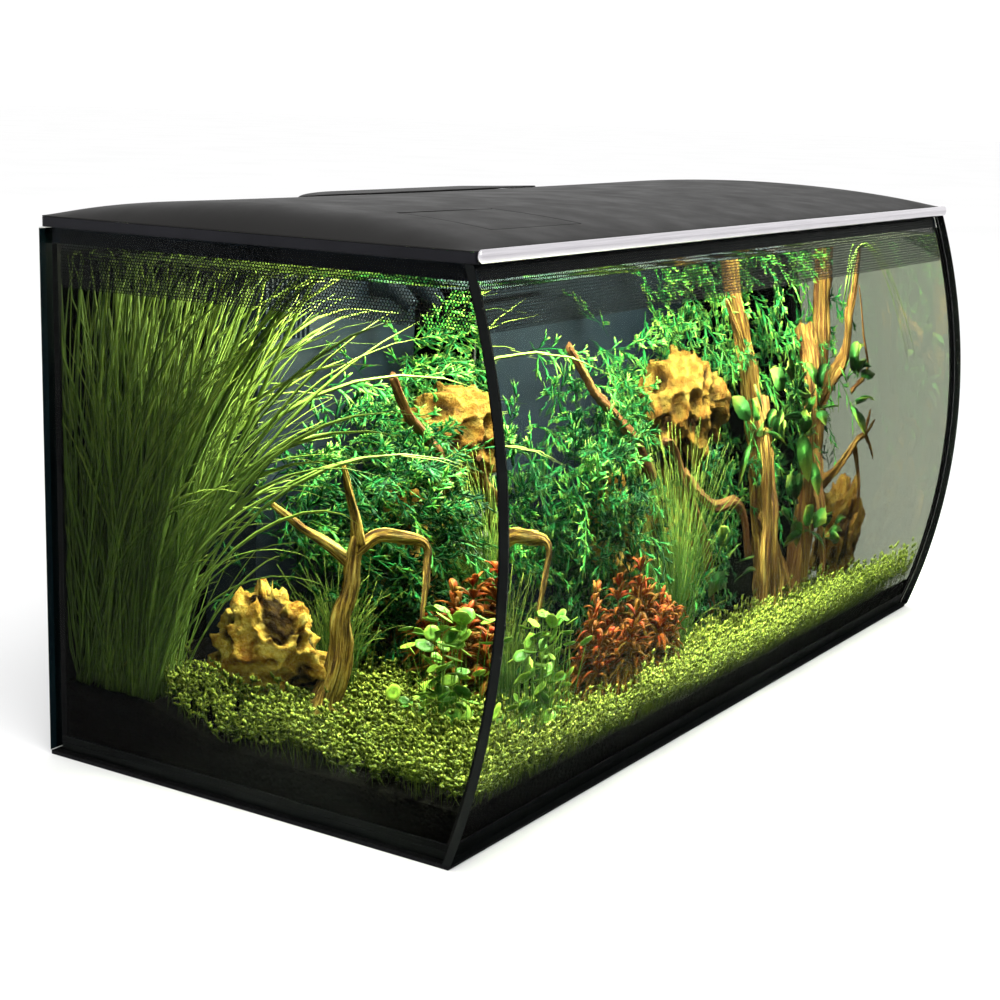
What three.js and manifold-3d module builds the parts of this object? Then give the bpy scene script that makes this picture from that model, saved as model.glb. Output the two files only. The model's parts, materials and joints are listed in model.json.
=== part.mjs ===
// A curved-front glass aquarium with a lift-off hood, a rear filter box and a planted layout.
// Millimetres, +Z up, +X to the right, the curved front faces -Y.
// The origin is the bottom centre of the whole tank.
import * as THREE from "three";
import { mergeVertices } from "three/addons/utils/BufferGeometryUtils.js";
import Module from "manifold-3d";

const wasm = await Module();
wasm.setup();

// ---- driving dimensions ----
const HALF_W = 410; // half the tank's length
const BACK_Y = 200; // rear face
const TANK_H = 392; // top edge of the glass
const GLASS = 6;
const GAP = 0.3; // clearance left between pieces that touch
const MAT_T = 3;
const SEAM = 5; // silicone bead
const FILM_T = 0.4;
const BACKDROP_T = 0.5;

// The front pane is one arc in the YZ plane, furthest forward a little above mid height.
const FRONT_R = 572.6;
const BULGE_Y = -200;
const BULGE_Z = 205;
const ARC_Y = BULGE_Y + FRONT_R;
const ARC_STEPS = 16;

const GLASS_Z = MAT_T + GAP;
const FLOOR_Z = GLASS_Z + GLASS; // top of the bottom pane
const SIDE_X = HALF_W - GLASS; // inner face of the side panes
const PANE_BACK_Y = BACK_Y - BACKDROP_T - GAP; // outer face of the back pane
const INNER_BACK_Y = PANE_BACK_Y - GLASS;
const INSET = GLASS + GAP;

// Top rim, and the dotted film between it and the panes.
const RIM_Z = 381;
const RIM_W = 9;
const FILM_Z = 350;
const FILM_TOP = TANK_H - 0.7;

// Hood outline and crown.
const HOOD_HALF_W = 408.5;
const HOOD_FRONT_Y = -168.5;
const HOOD_BACK_Y = 199.5;
const HOOD_CORNER_R = 4;
const SKIRT_Z = TANK_H + GAP;
const SKIRT_TOP = 399.3;
const CROWN_Z = 399.6;
const HOOD_T = 2.5;
const CROWN_RISE = 17.4; // crown above the skirt near the ends
const CROWN_DIP = 3.04; // how much lower the crown is at mid length
const END_ROLL = 62.6; // length over which each end rolls down
const CROWN_Y = (HOOD_FRONT_Y + HOOD_BACK_Y) / 2;
const CROWN_HALF_Y = (HOOD_BACK_Y - HOOD_FRONT_Y) / 2;

// Feed flap in the hood's front left, hinged along its back edge.
const FLAP = { x0: -338, x1: -225, y0: -134, y1: -62 };
const FLAP_GAP = 0.8;
const HINGE_R = 2.4;
const PIN_R = 1.1;

// Service hatch over the filter. Its top falls to the rear and slopes down at its ends.
const HATCH = { half: 140, y0: 122, y1: 191, frontTop: 413, backTop: 409.3 };
const HATCH_CORNER_R = 14;
const HATCH_SLOPE = 45; // length of each end's slope
const HATCH_ROUND = 7; // depth over which the long edges round off
const HATCH_LIP = 6; // overlap on the crown

// Lamp under the crown.
const LAMP = { x: 320, y0: -62, y1: -2, z0: 394, z1: 404 };
const LAMP_EAR = 14;
const SCREW_R = 1.4;

// Filter box against the back pane.
const BOX = { x0: -150, x1: 150, y0: 143, y1: INNER_BACK_Y - GAP, z0: 15, z1: 372 };
const WALL = 2.5;
const FOAM_X = [-147.5, -62];
const MEDIA_X = [-59.5, 26];
const PUMP_X = [28.5, 147.5];
const OUTLET_Z = 335;
const OUTLET_X = [62, 118];
const OUTLET_R = 8;
const FILTER_Y = 168; // centre line of what stands in the chambers

const group = new THREE.Group();

// ---- materials ----
const finish = (color, roughness, metalness, opacity) =>
  new THREE.MeshStandardMaterial({
    color,
    roughness,
    metalness,
    transparent: opacity < 1,
    opacity,
  });
const glass = () => finish(0xbfd0c8, 0.05, 0, 0.3);
const silicone = () => finish(0x0d0d10, 0.4, 0, 1);
const blackPlastic = () => finish(0x1c1d20, 0.45, 0, 1);
const greyPlastic = () => finish(0x504e4b, 0.6, 0, 1);
const foliage = () => finish(0x4f8f35, 0.7, 0, 1);
const stone = () => finish(0xc89a3c, 0.85, 0, 1);
const wood = () => finish(0x6e4a26, 0.8, 0, 1);

// ---- solids ----
function solid(geometry) {
  const bare = geometry.clone();
  bare.deleteAttribute("normal");
  bare.deleteAttribute("uv");
  const merged = mergeVertices(bare, 1e-4);
  return new wasm.Manifold(
    new wasm.Mesh({
      numProp: 3,
      vertProperties: new Float32Array(merged.attributes.position.array),
      triVerts: new Uint32Array(merged.index.array),
    }),
  );
}

function geometryOf(body) {
  const mesh = body.getMesh();
  const geometry = new THREE.BufferGeometry();
  geometry.setAttribute("position", new THREE.BufferAttribute(mesh.vertProperties, 3));
  geometry.setIndex(new THREE.BufferAttribute(mesh.triVerts, 1));
  geometry.computeVertexNormals();
  return geometry;
}

function part(name, body, material) {
  const mesh = new THREE.Mesh(geometryOf(body), material);
  mesh.name = name;
  group.add(mesh);
  return body;
}

function box(x0, x1, y0, y1, z0, z1) {
  const geometry = new THREE.BoxGeometry(x1 - x0, y1 - y0, z1 - z0);
  geometry.translate((x0 + x1) / 2, (y0 + y1) / 2, (z0 + z1) / 2);
  return solid(geometry);
}

// A rod between two points.
function rod(start, end, radius, sides = 20, endRadius = radius) {
  const from = new THREE.Vector3(...start);
  const to = new THREE.Vector3(...end);
  const along = to.clone().sub(from);
  const geometry = new THREE.CylinderGeometry(endRadius, radius, along.length(), sides);
  const turn = new THREE.Quaternion().setFromUnitVectors(
    new THREE.Vector3(0, 1, 0),
    along.clone().normalize(),
  );
  geometry.applyQuaternion(turn);
  geometry.translate(...from.add(to).multiplyScalar(0.5).toArray());
  return solid(geometry);
}

// An outline in Y and Z, run along X.
function alongX(outline, x0, x1) {
  const shape = new THREE.Shape(outline.map(([y, z]) => new THREE.Vector2(y, z)));
  const geometry = new THREE.ExtrudeGeometry(shape, { depth: x1 - x0, bevelEnabled: false });
  geometry.applyMatrix4(
    new THREE.Matrix4().makeBasis(
      new THREE.Vector3(0, 1, 0),
      new THREE.Vector3(0, 0, 1),
      new THREE.Vector3(1, 0, 0),
    ),
  );
  geometry.translate(x0, 0, 0);
  return solid(geometry);
}

// A rectangle with round corners, run up Z.
function roundedBlock(x0, x1, y0, y1, radius, z0, z1) {
  const shape = new THREE.Shape();
  shape.absarc(x1 - radius, y1 - radius, radius, 0, Math.PI / 2);
  shape.absarc(x0 + radius, y1 - radius, radius, Math.PI / 2, Math.PI);
  shape.absarc(x0 + radius, y0 + radius, radius, Math.PI, Math.PI * 1.5);
  shape.absarc(x1 - radius, y0 + radius, radius, Math.PI * 1.5, Math.PI * 2);
  const geometry = new THREE.ExtrudeGeometry(shape, {
    depth: z1 - z0,
    bevelEnabled: false,
    curveSegments: 6,
  });
  geometry.translate(0, 0, z0);
  return solid(geometry);
}

// A block between a flat base and a surface z = top(x, y), on a grid of x and y lines.
function terrain(xs, ys, base, top) {
  const position = [];
  const index = [];
  const rows = ys.length;
  const bottomStart = xs.length * rows;
  for (const x of xs) for (const y of ys) position.push(x, y, top(x, y));
  for (const x of xs) for (const y of ys) position.push(x, y, base);
  const quad = (a, b, c, d) => index.push(a, b, c, a, c, d);
  const at = (i, j) => i * rows + j;
  for (let i = 0; i + 1 < xs.length; i++) {
    for (let j = 0; j + 1 < rows; j++) {
      quad(at(i, j), at(i + 1, j), at(i + 1, j + 1), at(i, j + 1));
      quad(
        bottomStart + at(i, j),
        bottomStart + at(i, j + 1),
        bottomStart + at(i + 1, j + 1),
        bottomStart + at(i + 1, j),
      );
    }
  }
  const wall = (a, b) => quad(b, a, bottomStart + a, bottomStart + b);
  const last = xs.length - 1;
  for (let i = 0; i < last; i++) {
    wall(at(i, 0), at(i + 1, 0));
    wall(at(i + 1, rows - 1), at(i, rows - 1));
  }
  for (let j = 0; j + 1 < rows; j++) {
    wall(at(0, j + 1), at(0, j));
    wall(at(last, j), at(last, j + 1));
  }
  const geometry = new THREE.BufferGeometry();
  geometry.setAttribute("position", new THREE.Float32BufferAttribute(position, 3));
  geometry.setIndex(index);
  return solid(geometry);
}

const even = (from, to, steps) =>
  Array.from({ length: steps + 1 }, (_, i) => from + ((to - from) * i) / steps);
// Lines that crowd towards both ends, where a surface rolls over.
const crowded = (from, to, steps) =>
  even(-1, 1, steps).map((t) => (from + to) / 2 + ((to - from) / 2) * Math.sin((t * Math.PI) / 2));

// ---- tank ----
// Y of the front pane at a height, a distance behind its outer face.
const frontY = (z, behind = 0) =>
  ARC_Y - Math.sqrt((FRONT_R - behind) ** 2 - (z - BULGE_Z) ** 2);
const frontArc = (z0, z1, behind, steps = ARC_STEPS) =>
  even(z0, z1, steps).map((z) => [frontY(z, behind), z]);

// A bar that follows the front pane, between two depths behind its outer face.
const frontStrip = (x0, x1, z0, z1, near, far) =>
  alongX([...frontArc(z0, z1, far), ...frontArc(z0, z1, near).reverse()], x0, x1);

// A block whose front follows the front pane.
const frontBlock = (x0, x1, z0, z1, behind, back, steps = ARC_STEPS) =>
  alongX([[back, z0], [back, z1], ...frontArc(z0, z1, behind, steps).reverse()], x0, x1);

function tankPanes() {
  part("levelling_mat", box(-HALF_W + 1, HALF_W - 1, -161, BACK_Y - 1, 0, MAT_T), silicone());
  part(
    "bottom_pane",
    frontBlock(-SIDE_X + GAP, SIDE_X - GAP, GLASS_Z, FLOOR_Z, INSET, INNER_BACK_Y - GAP, 2),
    glass(),
  );
  part("front_pane", frontStrip(-HALF_W, HALF_W, GLASS_Z, TANK_H, 0, GLASS), glass());
  part("left_pane", frontBlock(-HALF_W, -SIDE_X, GLASS_Z, TANK_H, INSET, PANE_BACK_Y), glass());
  part("right_pane", frontBlock(SIDE_X, HALF_W, GLASS_Z, TANK_H, INSET, PANE_BACK_Y), glass());
  part(
    "back_pane",
    box(-SIDE_X + GAP, SIDE_X - GAP, INNER_BACK_Y, PANE_BACK_Y, GLASS_Z, TANK_H),
    glass(),
  );
  part(
    "background_film",
    box(-HALF_W + 1, HALF_W - 1, BACK_Y - BACKDROP_T, BACK_Y, GLASS_Z, TANK_H - 1),
    finish(0x0e1c24, 0.5, 0, 1),
  );
}

// The beads inside the four upright corners start above the bead round the floor.
const SEAM_OUT = SIDE_X - GAP;
const SEAM_IN = SEAM_OUT - SEAM;
const FLOOR_SEAM_Z = FLOOR_Z + GAP;
const CORNER_SEAM_Z = FLOOR_SEAM_Z + SEAM + GAP;
const CORNER_SEAM_TOP = RIM_Z - GAP;

function seams() {
  for (const [side, x0, x1] of [["left", -SEAM_OUT, -SEAM_IN], ["right", SEAM_IN, SEAM_OUT]]) {
    part(
      "seam_front_" + side,
      frontStrip(x0, x1, CORNER_SEAM_Z, CORNER_SEAM_TOP, INSET, INSET + SEAM),
      silicone(),
    );
    part(
      "seam_back_" + side,
      box(x0, x1, INNER_BACK_Y - GAP - SEAM, INNER_BACK_Y - GAP, CORNER_SEAM_Z, CORNER_SEAM_TOP),
      silicone(),
    );
  }
  part("seam_bottom", floorSeam(0), silicone());
}

// The bead round the floor, with its section grown by a margin for cutting neighbours.
function floorSeam(margin) {
  const z0 = FLOOR_SEAM_Z - margin;
  const z1 = FLOOR_SEAM_Z + SEAM + margin;
  const reach = SEAM + margin;
  const outer = frontBlock(-SEAM_OUT, SEAM_OUT, z0, z1, INSET, INNER_BACK_Y - GAP, 2);
  return outer.subtract(
    frontBlock(
      -SEAM_OUT + reach,
      SEAM_OUT - reach,
      z0 - 1,
      z1 + 1,
      INSET + reach,
      INNER_BACK_Y - GAP - reach,
      2,
    ),
  );
}

function rimAndFilms() {
  const z1 = TANK_H - 0.4;
  const back = INNER_BACK_Y - GAP;
  const behindFilm = FILM_T + GAP;
  const half = SEAM_OUT - behindFilm;
  const front = INSET + behindFilm;
  const outer = frontBlock(-half, half, RIM_Z, z1, front, back, 4);
  const inner = frontBlock(
    -half + RIM_W,
    half - RIM_W,
    RIM_Z - 1,
    z1 + 1,
    front + RIM_W,
    back - RIM_W,
    4,
  );
  part("rim_frame", outer.subtract(inner), blackPlastic());

  const side = SEAM_IN - GAP;
  part(
    "film_front",
    frontStrip(-side, side, FILM_Z, FILM_TOP, INSET, INSET + FILM_T),
    silicone(),
  );
  const clearOfSeam = INSET + SEAM + GAP;
  const rear = back - SEAM - GAP;
  part(
    "film_left",
    frontBlock(-SEAM_OUT, -SEAM_OUT + FILM_T, FILM_Z, FILM_TOP, clearOfSeam, rear, 4),
    silicone(),
  );
  part(
    "film_right",
    frontBlock(SEAM_OUT - FILM_T, SEAM_OUT, FILM_Z, FILM_TOP, clearOfSeam, rear, 4),
    silicone(),
  );
}

// ---- hood ----
function crownZ(x, y) {
  const across = Math.min(1, Math.abs(y - CROWN_Y) / CROWN_HALF_Y);
  const fromEnd = Math.min(1, Math.max(0, (HOOD_HALF_W + 0.5 - Math.abs(x)) / END_ROLL));
  const rise = CROWN_RISE - CROWN_DIP * (1 - (x / HOOD_HALF_W) ** 2);
  const roll = 1 - (1 - fromEnd) ** 4;
  return SKIRT_TOP + 0.7 + rise * roll * (1 - across ** 1.87) ** 0.66;
}

function crownBlock(base, lift) {
  const xs = crowded(-HOOD_HALF_W - 0.5, HOOD_HALF_W + 0.5, 20);
  const ys = crowded(HOOD_FRONT_Y, HOOD_BACK_Y, 12);
  return terrain(xs, ys, base, (x, y) => crownZ(x, y) + lift);
}

const hoodPlan = (inset, z0, z1) =>
  roundedBlock(
    -HOOD_HALF_W + inset,
    HOOD_HALF_W - inset,
    HOOD_FRONT_Y + inset,
    HOOD_BACK_Y - inset,
    HOOD_CORNER_R - inset,
    z0,
    z1,
  );

const screwPlaces = [-1, 1].flatMap((sx) =>
  [LAMP.y0 + 12, LAMP.y1 - 12].map((y) => [sx * (LAMP.x + LAMP_EAR / 2), y]),
);

const hingeY = FLAP.y1;
const hingeX = (FLAP.x0 + FLAP.x1) / 2;
const hingeZ = crownZ(hingeX, hingeY) - HINGE_R;
const LUG_T = 5;

function hoodCrown() {
  const whole = crownBlock(CROWN_Z, 0).intersect(hoodPlan(0, 390, 430));
  const under = crownBlock(380, -HOOD_T).intersect(hoodPlan(3, 370, 430));
  const shell = whole.subtract(under);

  const flapHole = box(
    FLAP.x0 - FLAP_GAP,
    FLAP.x1 + FLAP_GAP,
    FLAP.y0 - FLAP_GAP,
    hingeY + HINGE_R + FLAP_GAP,
    380,
    430,
  );
  const hatchHole = hatchPlan(HATCH_LIP, 380, 430);
  let crown = shell.subtract(flapHole).subtract(hatchHole);

  // Lugs at the two ends of the hinge pin.
  for (const x0 of [FLAP.x0 - FLAP_GAP - LUG_T, FLAP.x1 + FLAP_GAP]) {
    const lug = box(x0, x0 + LUG_T, hingeY - 4, hingeY + 4, hingeZ - 4, hingeZ + HINGE_R);
    const bore = rod([x0 - 1, hingeY, hingeZ], [x0 + LUG_T + 1, hingeY, hingeZ], PIN_R + 0.4, 12);
    crown = crown.add(lug.intersect(crownBlock(380, -0.2))).subtract(bore);
  }
  // Bosses that take the lamp's screws.
  for (const [x, y] of screwPlaces) {
    const boss = rod([x, y, LAMP.z0 + 4.5], [x, y, crownZ(x, y) - 1], 4, 14);
    const hole = rod([x, y, LAMP.z0 + 3], [x, y, LAMP.z0 + 11], SCREW_R + GAP, 12);
    crown = crown.add(boss).subtract(hole);
  }
  part("hood_crown", crown, greyPlastic());

  const flapPlate = whole
    .subtract(under)
    .intersect(box(FLAP.x0, FLAP.x1, FLAP.y0, hingeY, 380, 430));
  const barrelEnds = [FLAP.x0 + 4, FLAP.x1 - 4];
  const barrel = rod(
    [barrelEnds[0], hingeY, hingeZ],
    [barrelEnds[1], hingeY, hingeZ],
    HINGE_R,
    16,
  );
  const bore = rod([FLAP.x0 - 1, hingeY, hingeZ], [FLAP.x1 + 1, hingeY, hingeZ], PIN_R + 0.4, 12);
  part("feed_flap", flapPlate.add(barrel).subtract(bore), greyPlastic());
  part(
    "feed_hinge_pin",
    rod(
      [FLAP.x0 - FLAP_GAP - LUG_T + 1, hingeY, hingeZ],
      [FLAP.x1 + FLAP_GAP + LUG_T - 1, hingeY, hingeZ],
      PIN_R,
      12,
    ),
    finish(0xb0b2b5, 0.35, 1, 1),
  );
}

const hatchPlan = (inset, z0, z1) =>
  roundedBlock(
    -HATCH.half + inset,
    HATCH.half - inset,
    HATCH.y0 + inset,
    HATCH.y1 - inset,
    HATCH_CORNER_R - inset,
    z0,
    z1,
  );

// The hatch rises from the crown over a long slope at each end and a short one front and back.
function hatchZ(x, y) {
  const middleY = (HATCH.y0 + HATCH.y1) / 2;
  const halfY = (HATCH.y1 - HATCH.y0) / 2;
  const shoulder = (distance, run) => {
    const t = Math.min(1, Math.max(0, distance / run));
    return Math.sqrt(1 - (1 - t) ** 2);
  };
  const ends = shoulder(HATCH.half - Math.abs(x), HATCH_SLOPE);
  const sides = shoulder(halfY - Math.abs(y - middleY), HATCH_ROUND);
  const share = (y - HATCH.y0) / (HATCH.y1 - HATCH.y0);
  const roof = HATCH.frontTop + (HATCH.backTop - HATCH.frontTop) * share;
  const seat = crownZ(x, y) + 1.2;
  return seat + Math.max(0, roof - seat) * ends * sides;
}

function serviceHatch() {
  const xs = crowded(-HATCH.half - 1, HATCH.half + 1, 14);
  const ys = crowded(HATCH.y0 - 1, HATCH.y1 + 1, 8);
  const outer = terrain(xs, ys, 395, hatchZ).intersect(hatchPlan(0, 390, 430));
  const roof = terrain(xs, ys, 390, (x, y) => hatchZ(x, y) - HOOD_T);
  const hollow = roof.intersect(hatchPlan(3, 380, 430));
  part(
    "service_hatch",
    largest(outer.subtract(hollow).subtract(crownBlock(380, GAP))),
    greyPlastic(),
  );
}

// The bright trim stands in front of the skirt and reaches a little above it.
const TRIM = { half: 408, y0: -173, y1: -170.2, z0: SKIRT_Z - 0.1, z1: SKIRT_TOP + 1.7 };
const GLAND = { x0: -196, x1: -180, z1: 397.5, bore: 395 };

function hoodFrame() {
  const ring = hoodPlan(0, SKIRT_Z, SKIRT_TOP).subtract(hoodPlan(3, SKIRT_Z - 1, SKIRT_TOP + 1));
  const trimBed = box(
    -TRIM.half + 6,
    TRIM.half - 6,
    TRIM.y1 + GAP,
    HOOD_FRONT_Y + 0.1,
    SKIRT_Z,
    SKIRT_TOP,
  );
  const glandNotch = box(
    GLAND.x0 - GAP,
    GLAND.x1 + GAP,
    HOOD_BACK_Y - 5,
    HOOD_BACK_Y + 1,
    SKIRT_Z - 1,
    GLAND.z1 + GAP,
  );
  part("hood_frame", ring.add(trimBed).subtract(glandNotch), blackPlastic());

  // Its face is half round.
  const depth = TRIM.y1 - TRIM.y0;
  const middleZ = (TRIM.z0 + TRIM.z1) / 2;
  const halfZ = (TRIM.z1 - TRIM.z0) / 2;
  const face = even(-Math.PI / 2, Math.PI / 2, 8).map((a) => [
    TRIM.y1 - 0.8 - (depth - 0.8) * Math.cos(a),
    middleZ + halfZ * Math.sin(a),
  ]);
  part(
    "front_trim",
    alongX([[TRIM.y1, TRIM.z0], [TRIM.y1, TRIM.z1], ...face.reverse()], -TRIM.half, TRIM.half),
    finish(0xd4d2d4, 0.3, 0.8, 1),
  );

  const gland = box(GLAND.x0, GLAND.x1, HOOD_BACK_Y - 4, HOOD_BACK_Y, SKIRT_Z, GLAND.z1);
  const middle = (GLAND.x0 + GLAND.x1) / 2;
  const passage = rod(
    [middle, HOOD_BACK_Y - 6, GLAND.bore],
    [middle, HOOD_BACK_Y + 1, GLAND.bore],
    1.6,
    12,
  );
  part("cable_gland", gland.subtract(passage), silicone());
}

function lamp() {
  const shell = box(-LAMP.x, LAMP.x, LAMP.y0, LAMP.y1, LAMP.z0, LAMP.z1);
  const pocket = box(
    -LAMP.x + 2,
    LAMP.x - 2,
    LAMP.y0 + 2,
    LAMP.y1 - 2,
    LAMP.z0 - 1,
    LAMP.z1 - 2,
  );
  let housing = shell.subtract(pocket);
  for (const [x, y] of screwPlaces) {
    const inner = Math.sign(x) * (LAMP.x - 1);
    const outer = Math.sign(x) * (LAMP.x + LAMP_EAR);
    const ear = box(Math.min(inner, outer), Math.max(inner, outer), y - 6, y + 6, LAMP.z0, LAMP.z0 + 4);
    const hole = rod([x, y, LAMP.z0 - 1], [x, y, LAMP.z0 + 5], SCREW_R + GAP, 12);
    housing = housing.add(ear).subtract(hole);
  }
  part("lamp_housing", housing, blackPlastic());
  const inset = 2 + GAP;
  part(
    "lamp_board",
    box(-LAMP.x + inset, LAMP.x - inset, LAMP.y0 + inset, LAMP.y1 - inset, 400, 401.6),
    finish(0xeef2f4, 0.5, 0, 1),
  );
  part(
    "lamp_lens",
    box(-LAMP.x + inset, LAMP.x - inset, LAMP.y0 + inset, LAMP.y1 - inset, 394.2, 396.2),
    finish(0xf4f8ff, 0.2, 0, 0.8),
  );
  screwPlaces.forEach(([x, y], i) => {
    const head = rod([x, y, LAMP.z0 - 1.9], [x, y, LAMP.z0 - GAP], 2.9, 14);
    const shank = rod([x, y, LAMP.z0 - 1], [x, y, LAMP.z0 + 9], SCREW_R, 12);
    part("lamp_screw_" + (i + 1), head.add(shank), finish(0xb0b2b5, 0.35, 1, 1));
  });
}

// ---- filter ----
// Three chambers: foam, media and pump. What stands in them is centred on FILTER_Y.
const CHAMBER_Y = [BOX.y0 + WALL, BOX.y1 - WALL];
const CHAMBER_FLOOR = BOX.z0 + WALL;
const SEAT_Z = CHAMBER_FLOOR + 2.5; // underside of the foam and the basket
const STACK_TOP = 325; // top of the foam's plate and of the basket
const INTAKE = { x0: -140, x1: -70, z0: 300, z1: 348, slots: 5, height: 6 };
const PORT = { y0: 152, y1: 184, height: 20, low: 24, high: 318 };
const GRILLE = { x0: -146, x1: -64, z0: 294, z1: 360, depth: 5, border: 5, slots: 9 };

function filterBox() {
  const [y0, y1] = CHAMBER_Y;
  let housing = box(BOX.x0, BOX.x1, BOX.y0, BOX.y1, BOX.z0, BOX.z1);
  for (const [x0, x1] of [FOAM_X, MEDIA_X, PUMP_X]) {
    housing = housing.subtract(box(x0, x1, y0, y1, CHAMBER_FLOOR, BOX.z1 + 1));
  }
  for (const z of even(INTAKE.z0, INTAKE.z1, INTAKE.slots - 1)) {
    const slot = box(INTAKE.x0, INTAKE.x1, BOX.y0 - 1, y0 + 1, z, z + INTAKE.height);
    housing = housing.subtract(slot);
  }
  // The water passes low into the media chamber and high into the pump chamber.
  const port = (before, after, z) =>
    box(before[1] - 1, after[0] + 1, PORT.y0, PORT.y1, z, z + PORT.height);
  housing = housing.subtract(port(FOAM_X, MEDIA_X, PORT.low));
  housing = housing.subtract(port(MEDIA_X, PUMP_X, PORT.high));
  for (const x of OUTLET_X) {
    housing = housing.subtract(rod([x, BOX.y0 - 1, OUTLET_Z], [x, y0 + 1, OUTLET_Z], OUTLET_R + 0.6));
  }
  part("filter_housing", housing, blackPlastic());

  const face = BOX.y0 - GAP;
  let grille = box(GRILLE.x0, GRILLE.x1, BOX.y0 - GRILLE.depth, face, GRILLE.z0, GRILLE.z1);
  const pitch = (GRILLE.x1 - GRILLE.x0 - GRILLE.border) / GRILLE.slots;
  for (let i = 0; i < GRILLE.slots; i++) {
    const x = GRILLE.x0 + GRILLE.border + i * pitch;
    const z0 = GRILLE.z0 + GRILLE.border;
    const z1 = GRILLE.z1 - GRILLE.border;
    grille = grille.subtract(box(x, x + 5, BOX.y0 - GRILLE.depth - 1, BOX.y0, z0, z1));
  }
  part("intake_grille", grille, blackPlastic());
}

// A T handle that stands on the foam's plate or the basket's yoke.
function liftHandle(x) {
  const stem = box(x - 3.5, x + 3.5, FILTER_Y - 4, FILTER_Y + 4, STACK_TOP - 0.5, STACK_TOP + 35);
  const grip = box(x - 18, x + 18, FILTER_Y - 7, FILTER_Y + 7, STACK_TOP + 33, STACK_TOP + 41);
  return stem.add(grip);
}

function foamCartridge() {
  const x0 = FOAM_X[0] + 2.5;
  const x1 = FOAM_X[1] - 2.5;
  const y0 = FILTER_Y - 20;
  const y1 = FILTER_Y + 20;
  const plateT = 3;
  const foamTop = STACK_TOP - plateT;
  part(
    "foam_block",
    box(x0, x1, y0, y1, SEAT_Z, foamTop - GAP),
    finish(0x2a2c30, 0.95, 0, 1),
  );
  const plate = box(x0, x1, y0, y1, foamTop, STACK_TOP);
  part("foam_handle", plate.add(liftHandle((x0 + x1) / 2)), blackPlastic());
}

function mediaBasket() {
  const wall = 2;
  const floorT = 3;
  const x0 = MEDIA_X[0] + 2;
  const x1 = MEDIA_X[1] - 2;
  const y0 = FILTER_Y - 21;
  const y1 = FILTER_Y + 20.5;
  const inside = SEAT_Z + floorT;
  const shell = box(x0, x1, y0, y1, SEAT_Z, STACK_TOP);
  const hollow = box(x0 + wall, x1 - wall, y0 + wall, y1 - wall, inside, STACK_TOP + 1);
  let basket = shell.subtract(hollow);
  for (const x of even(x0 + 8, x1 - 14, 5)) {
    basket = basket.subtract(box(x, x + 5, y0 + 6, y1 - 6, SEAT_Z - 1, inside + 1));
  }
  const middle = (x0 + x1) / 2;
  const yoke = box(middle - 4, middle + 4, y0, y1, STACK_TOP - 3, STACK_TOP);
  part("media_basket", basket.add(yoke).add(liftHandle(middle)), blackPlastic());

  const room = 2 * wall;
  const bag = (name, z0, z1, material) => {
    const body = roundedBlock(x0 + room, x1 - room, y0 + room, y1 - room, 9, z0, z1);
    part(name, body, material);
  };
  const between = 161;
  bag("carbon_bag", inside + 1, between - 1, finish(0x1a1a1c, 0.9, 0, 1));
  bag("biomedia_bag", between + 1, STACK_TOP - 13, finish(0xd8cdb8, 0.9, 0, 1));
}

const PUMP = { x: 90, z: 48, half: 30, y0: 154, y1: 184, z0: 19, z1: 80 };
const ROTOR = { roomR: 16, hubR: 5, reach: 13.5, bladeR: 1.4, blades: 6, y0: 158, y1: 172 };
const COVER_T = 2.7;
const TUBE_WALL = 2.2;
const OUTLET_FRONT_Y = 135;

function pump() {
  const { x, z } = PUMP;
  const up = (z0, z1, radius) => rod([x, FILTER_Y, z0], [x, FILTER_Y, z1], radius);
  const body = box(x - PUMP.half, x + PUMP.half, PUMP.y0, PUMP.y1, PUMP.z0, PUMP.z1);
  const collar = up(PUMP.z1 - 1, PUMP.z1 + 10, OUTLET_R + 3.5);
  const socket = up(PUMP.z1 + 2, PUMP.z1 + 11, OUTLET_R + GAP);
  const room = rod([x, PUMP.y0 - 1, z], [x, ROTOR.y1 + 2, z], ROTOR.roomR);
  const throat = up(z, PUMP.z1 + 3, 4.5);
  part(
    "pump_housing",
    body.add(collar).subtract(socket).subtract(room).subtract(throat),
    blackPlastic(),
  );

  let rotor = rod([x, ROTOR.y0, z], [x, ROTOR.y1, z], ROTOR.hubR, 16);
  for (let i = 0; i < ROTOR.blades; i++) {
    const a = (i * 2 * Math.PI) / ROTOR.blades;
    const bladeY = ROTOR.y0 + 4;
    const tip = [x + ROTOR.reach * Math.cos(a), bladeY, z + ROTOR.reach * Math.sin(a)];
    rotor = rotor.add(rod([x, bladeY, z], tip, ROTOR.bladeR, 8));
  }
  part("impeller", rotor, finish(0xe9e6da, 0.5, 0, 1));

  const coverY = PUMP.y0 - GAP;
  let cover = box(x - PUMP.half, x + PUMP.half, coverY - COVER_T, coverY, PUMP.z0, PUMP.z1);
  for (let i = -2; i <= 2; i++) {
    const slotX = x + i * 5;
    const slot = box(slotX - 1.2, slotX + 1.2, coverY - COVER_T - 1, coverY + 1, z - 11, z + 11);
    cover = cover.subtract(slot);
  }
  part("pump_cover", cover, blackPlastic());

  // The riser, a header across its top and one outlet towards each nozzle.
  const tubes = (radius, past) => {
    const riser = up(PUMP.z1 + 4 - past, OUTLET_Z, radius);
    const header = rod(
      [OUTLET_X[0] - OUTLET_R + past, FILTER_Y, OUTLET_Z],
      [OUTLET_X[1] + OUTLET_R - past, FILTER_Y, OUTLET_Z],
      radius,
    );
    const outlet = (at) =>
      rod([at, FILTER_Y, OUTLET_Z], [at, OUTLET_FRONT_Y - past, OUTLET_Z], radius);
    return OUTLET_X.reduce((whole, at) => whole.add(outlet(at)), riser.add(header));
  };
  const bore = tubes(OUTLET_R - TUBE_WALL, TUBE_WALL);
  part("outlet_manifold", tubes(OUTLET_R, 0).subtract(bore), blackPlastic());
}

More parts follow.
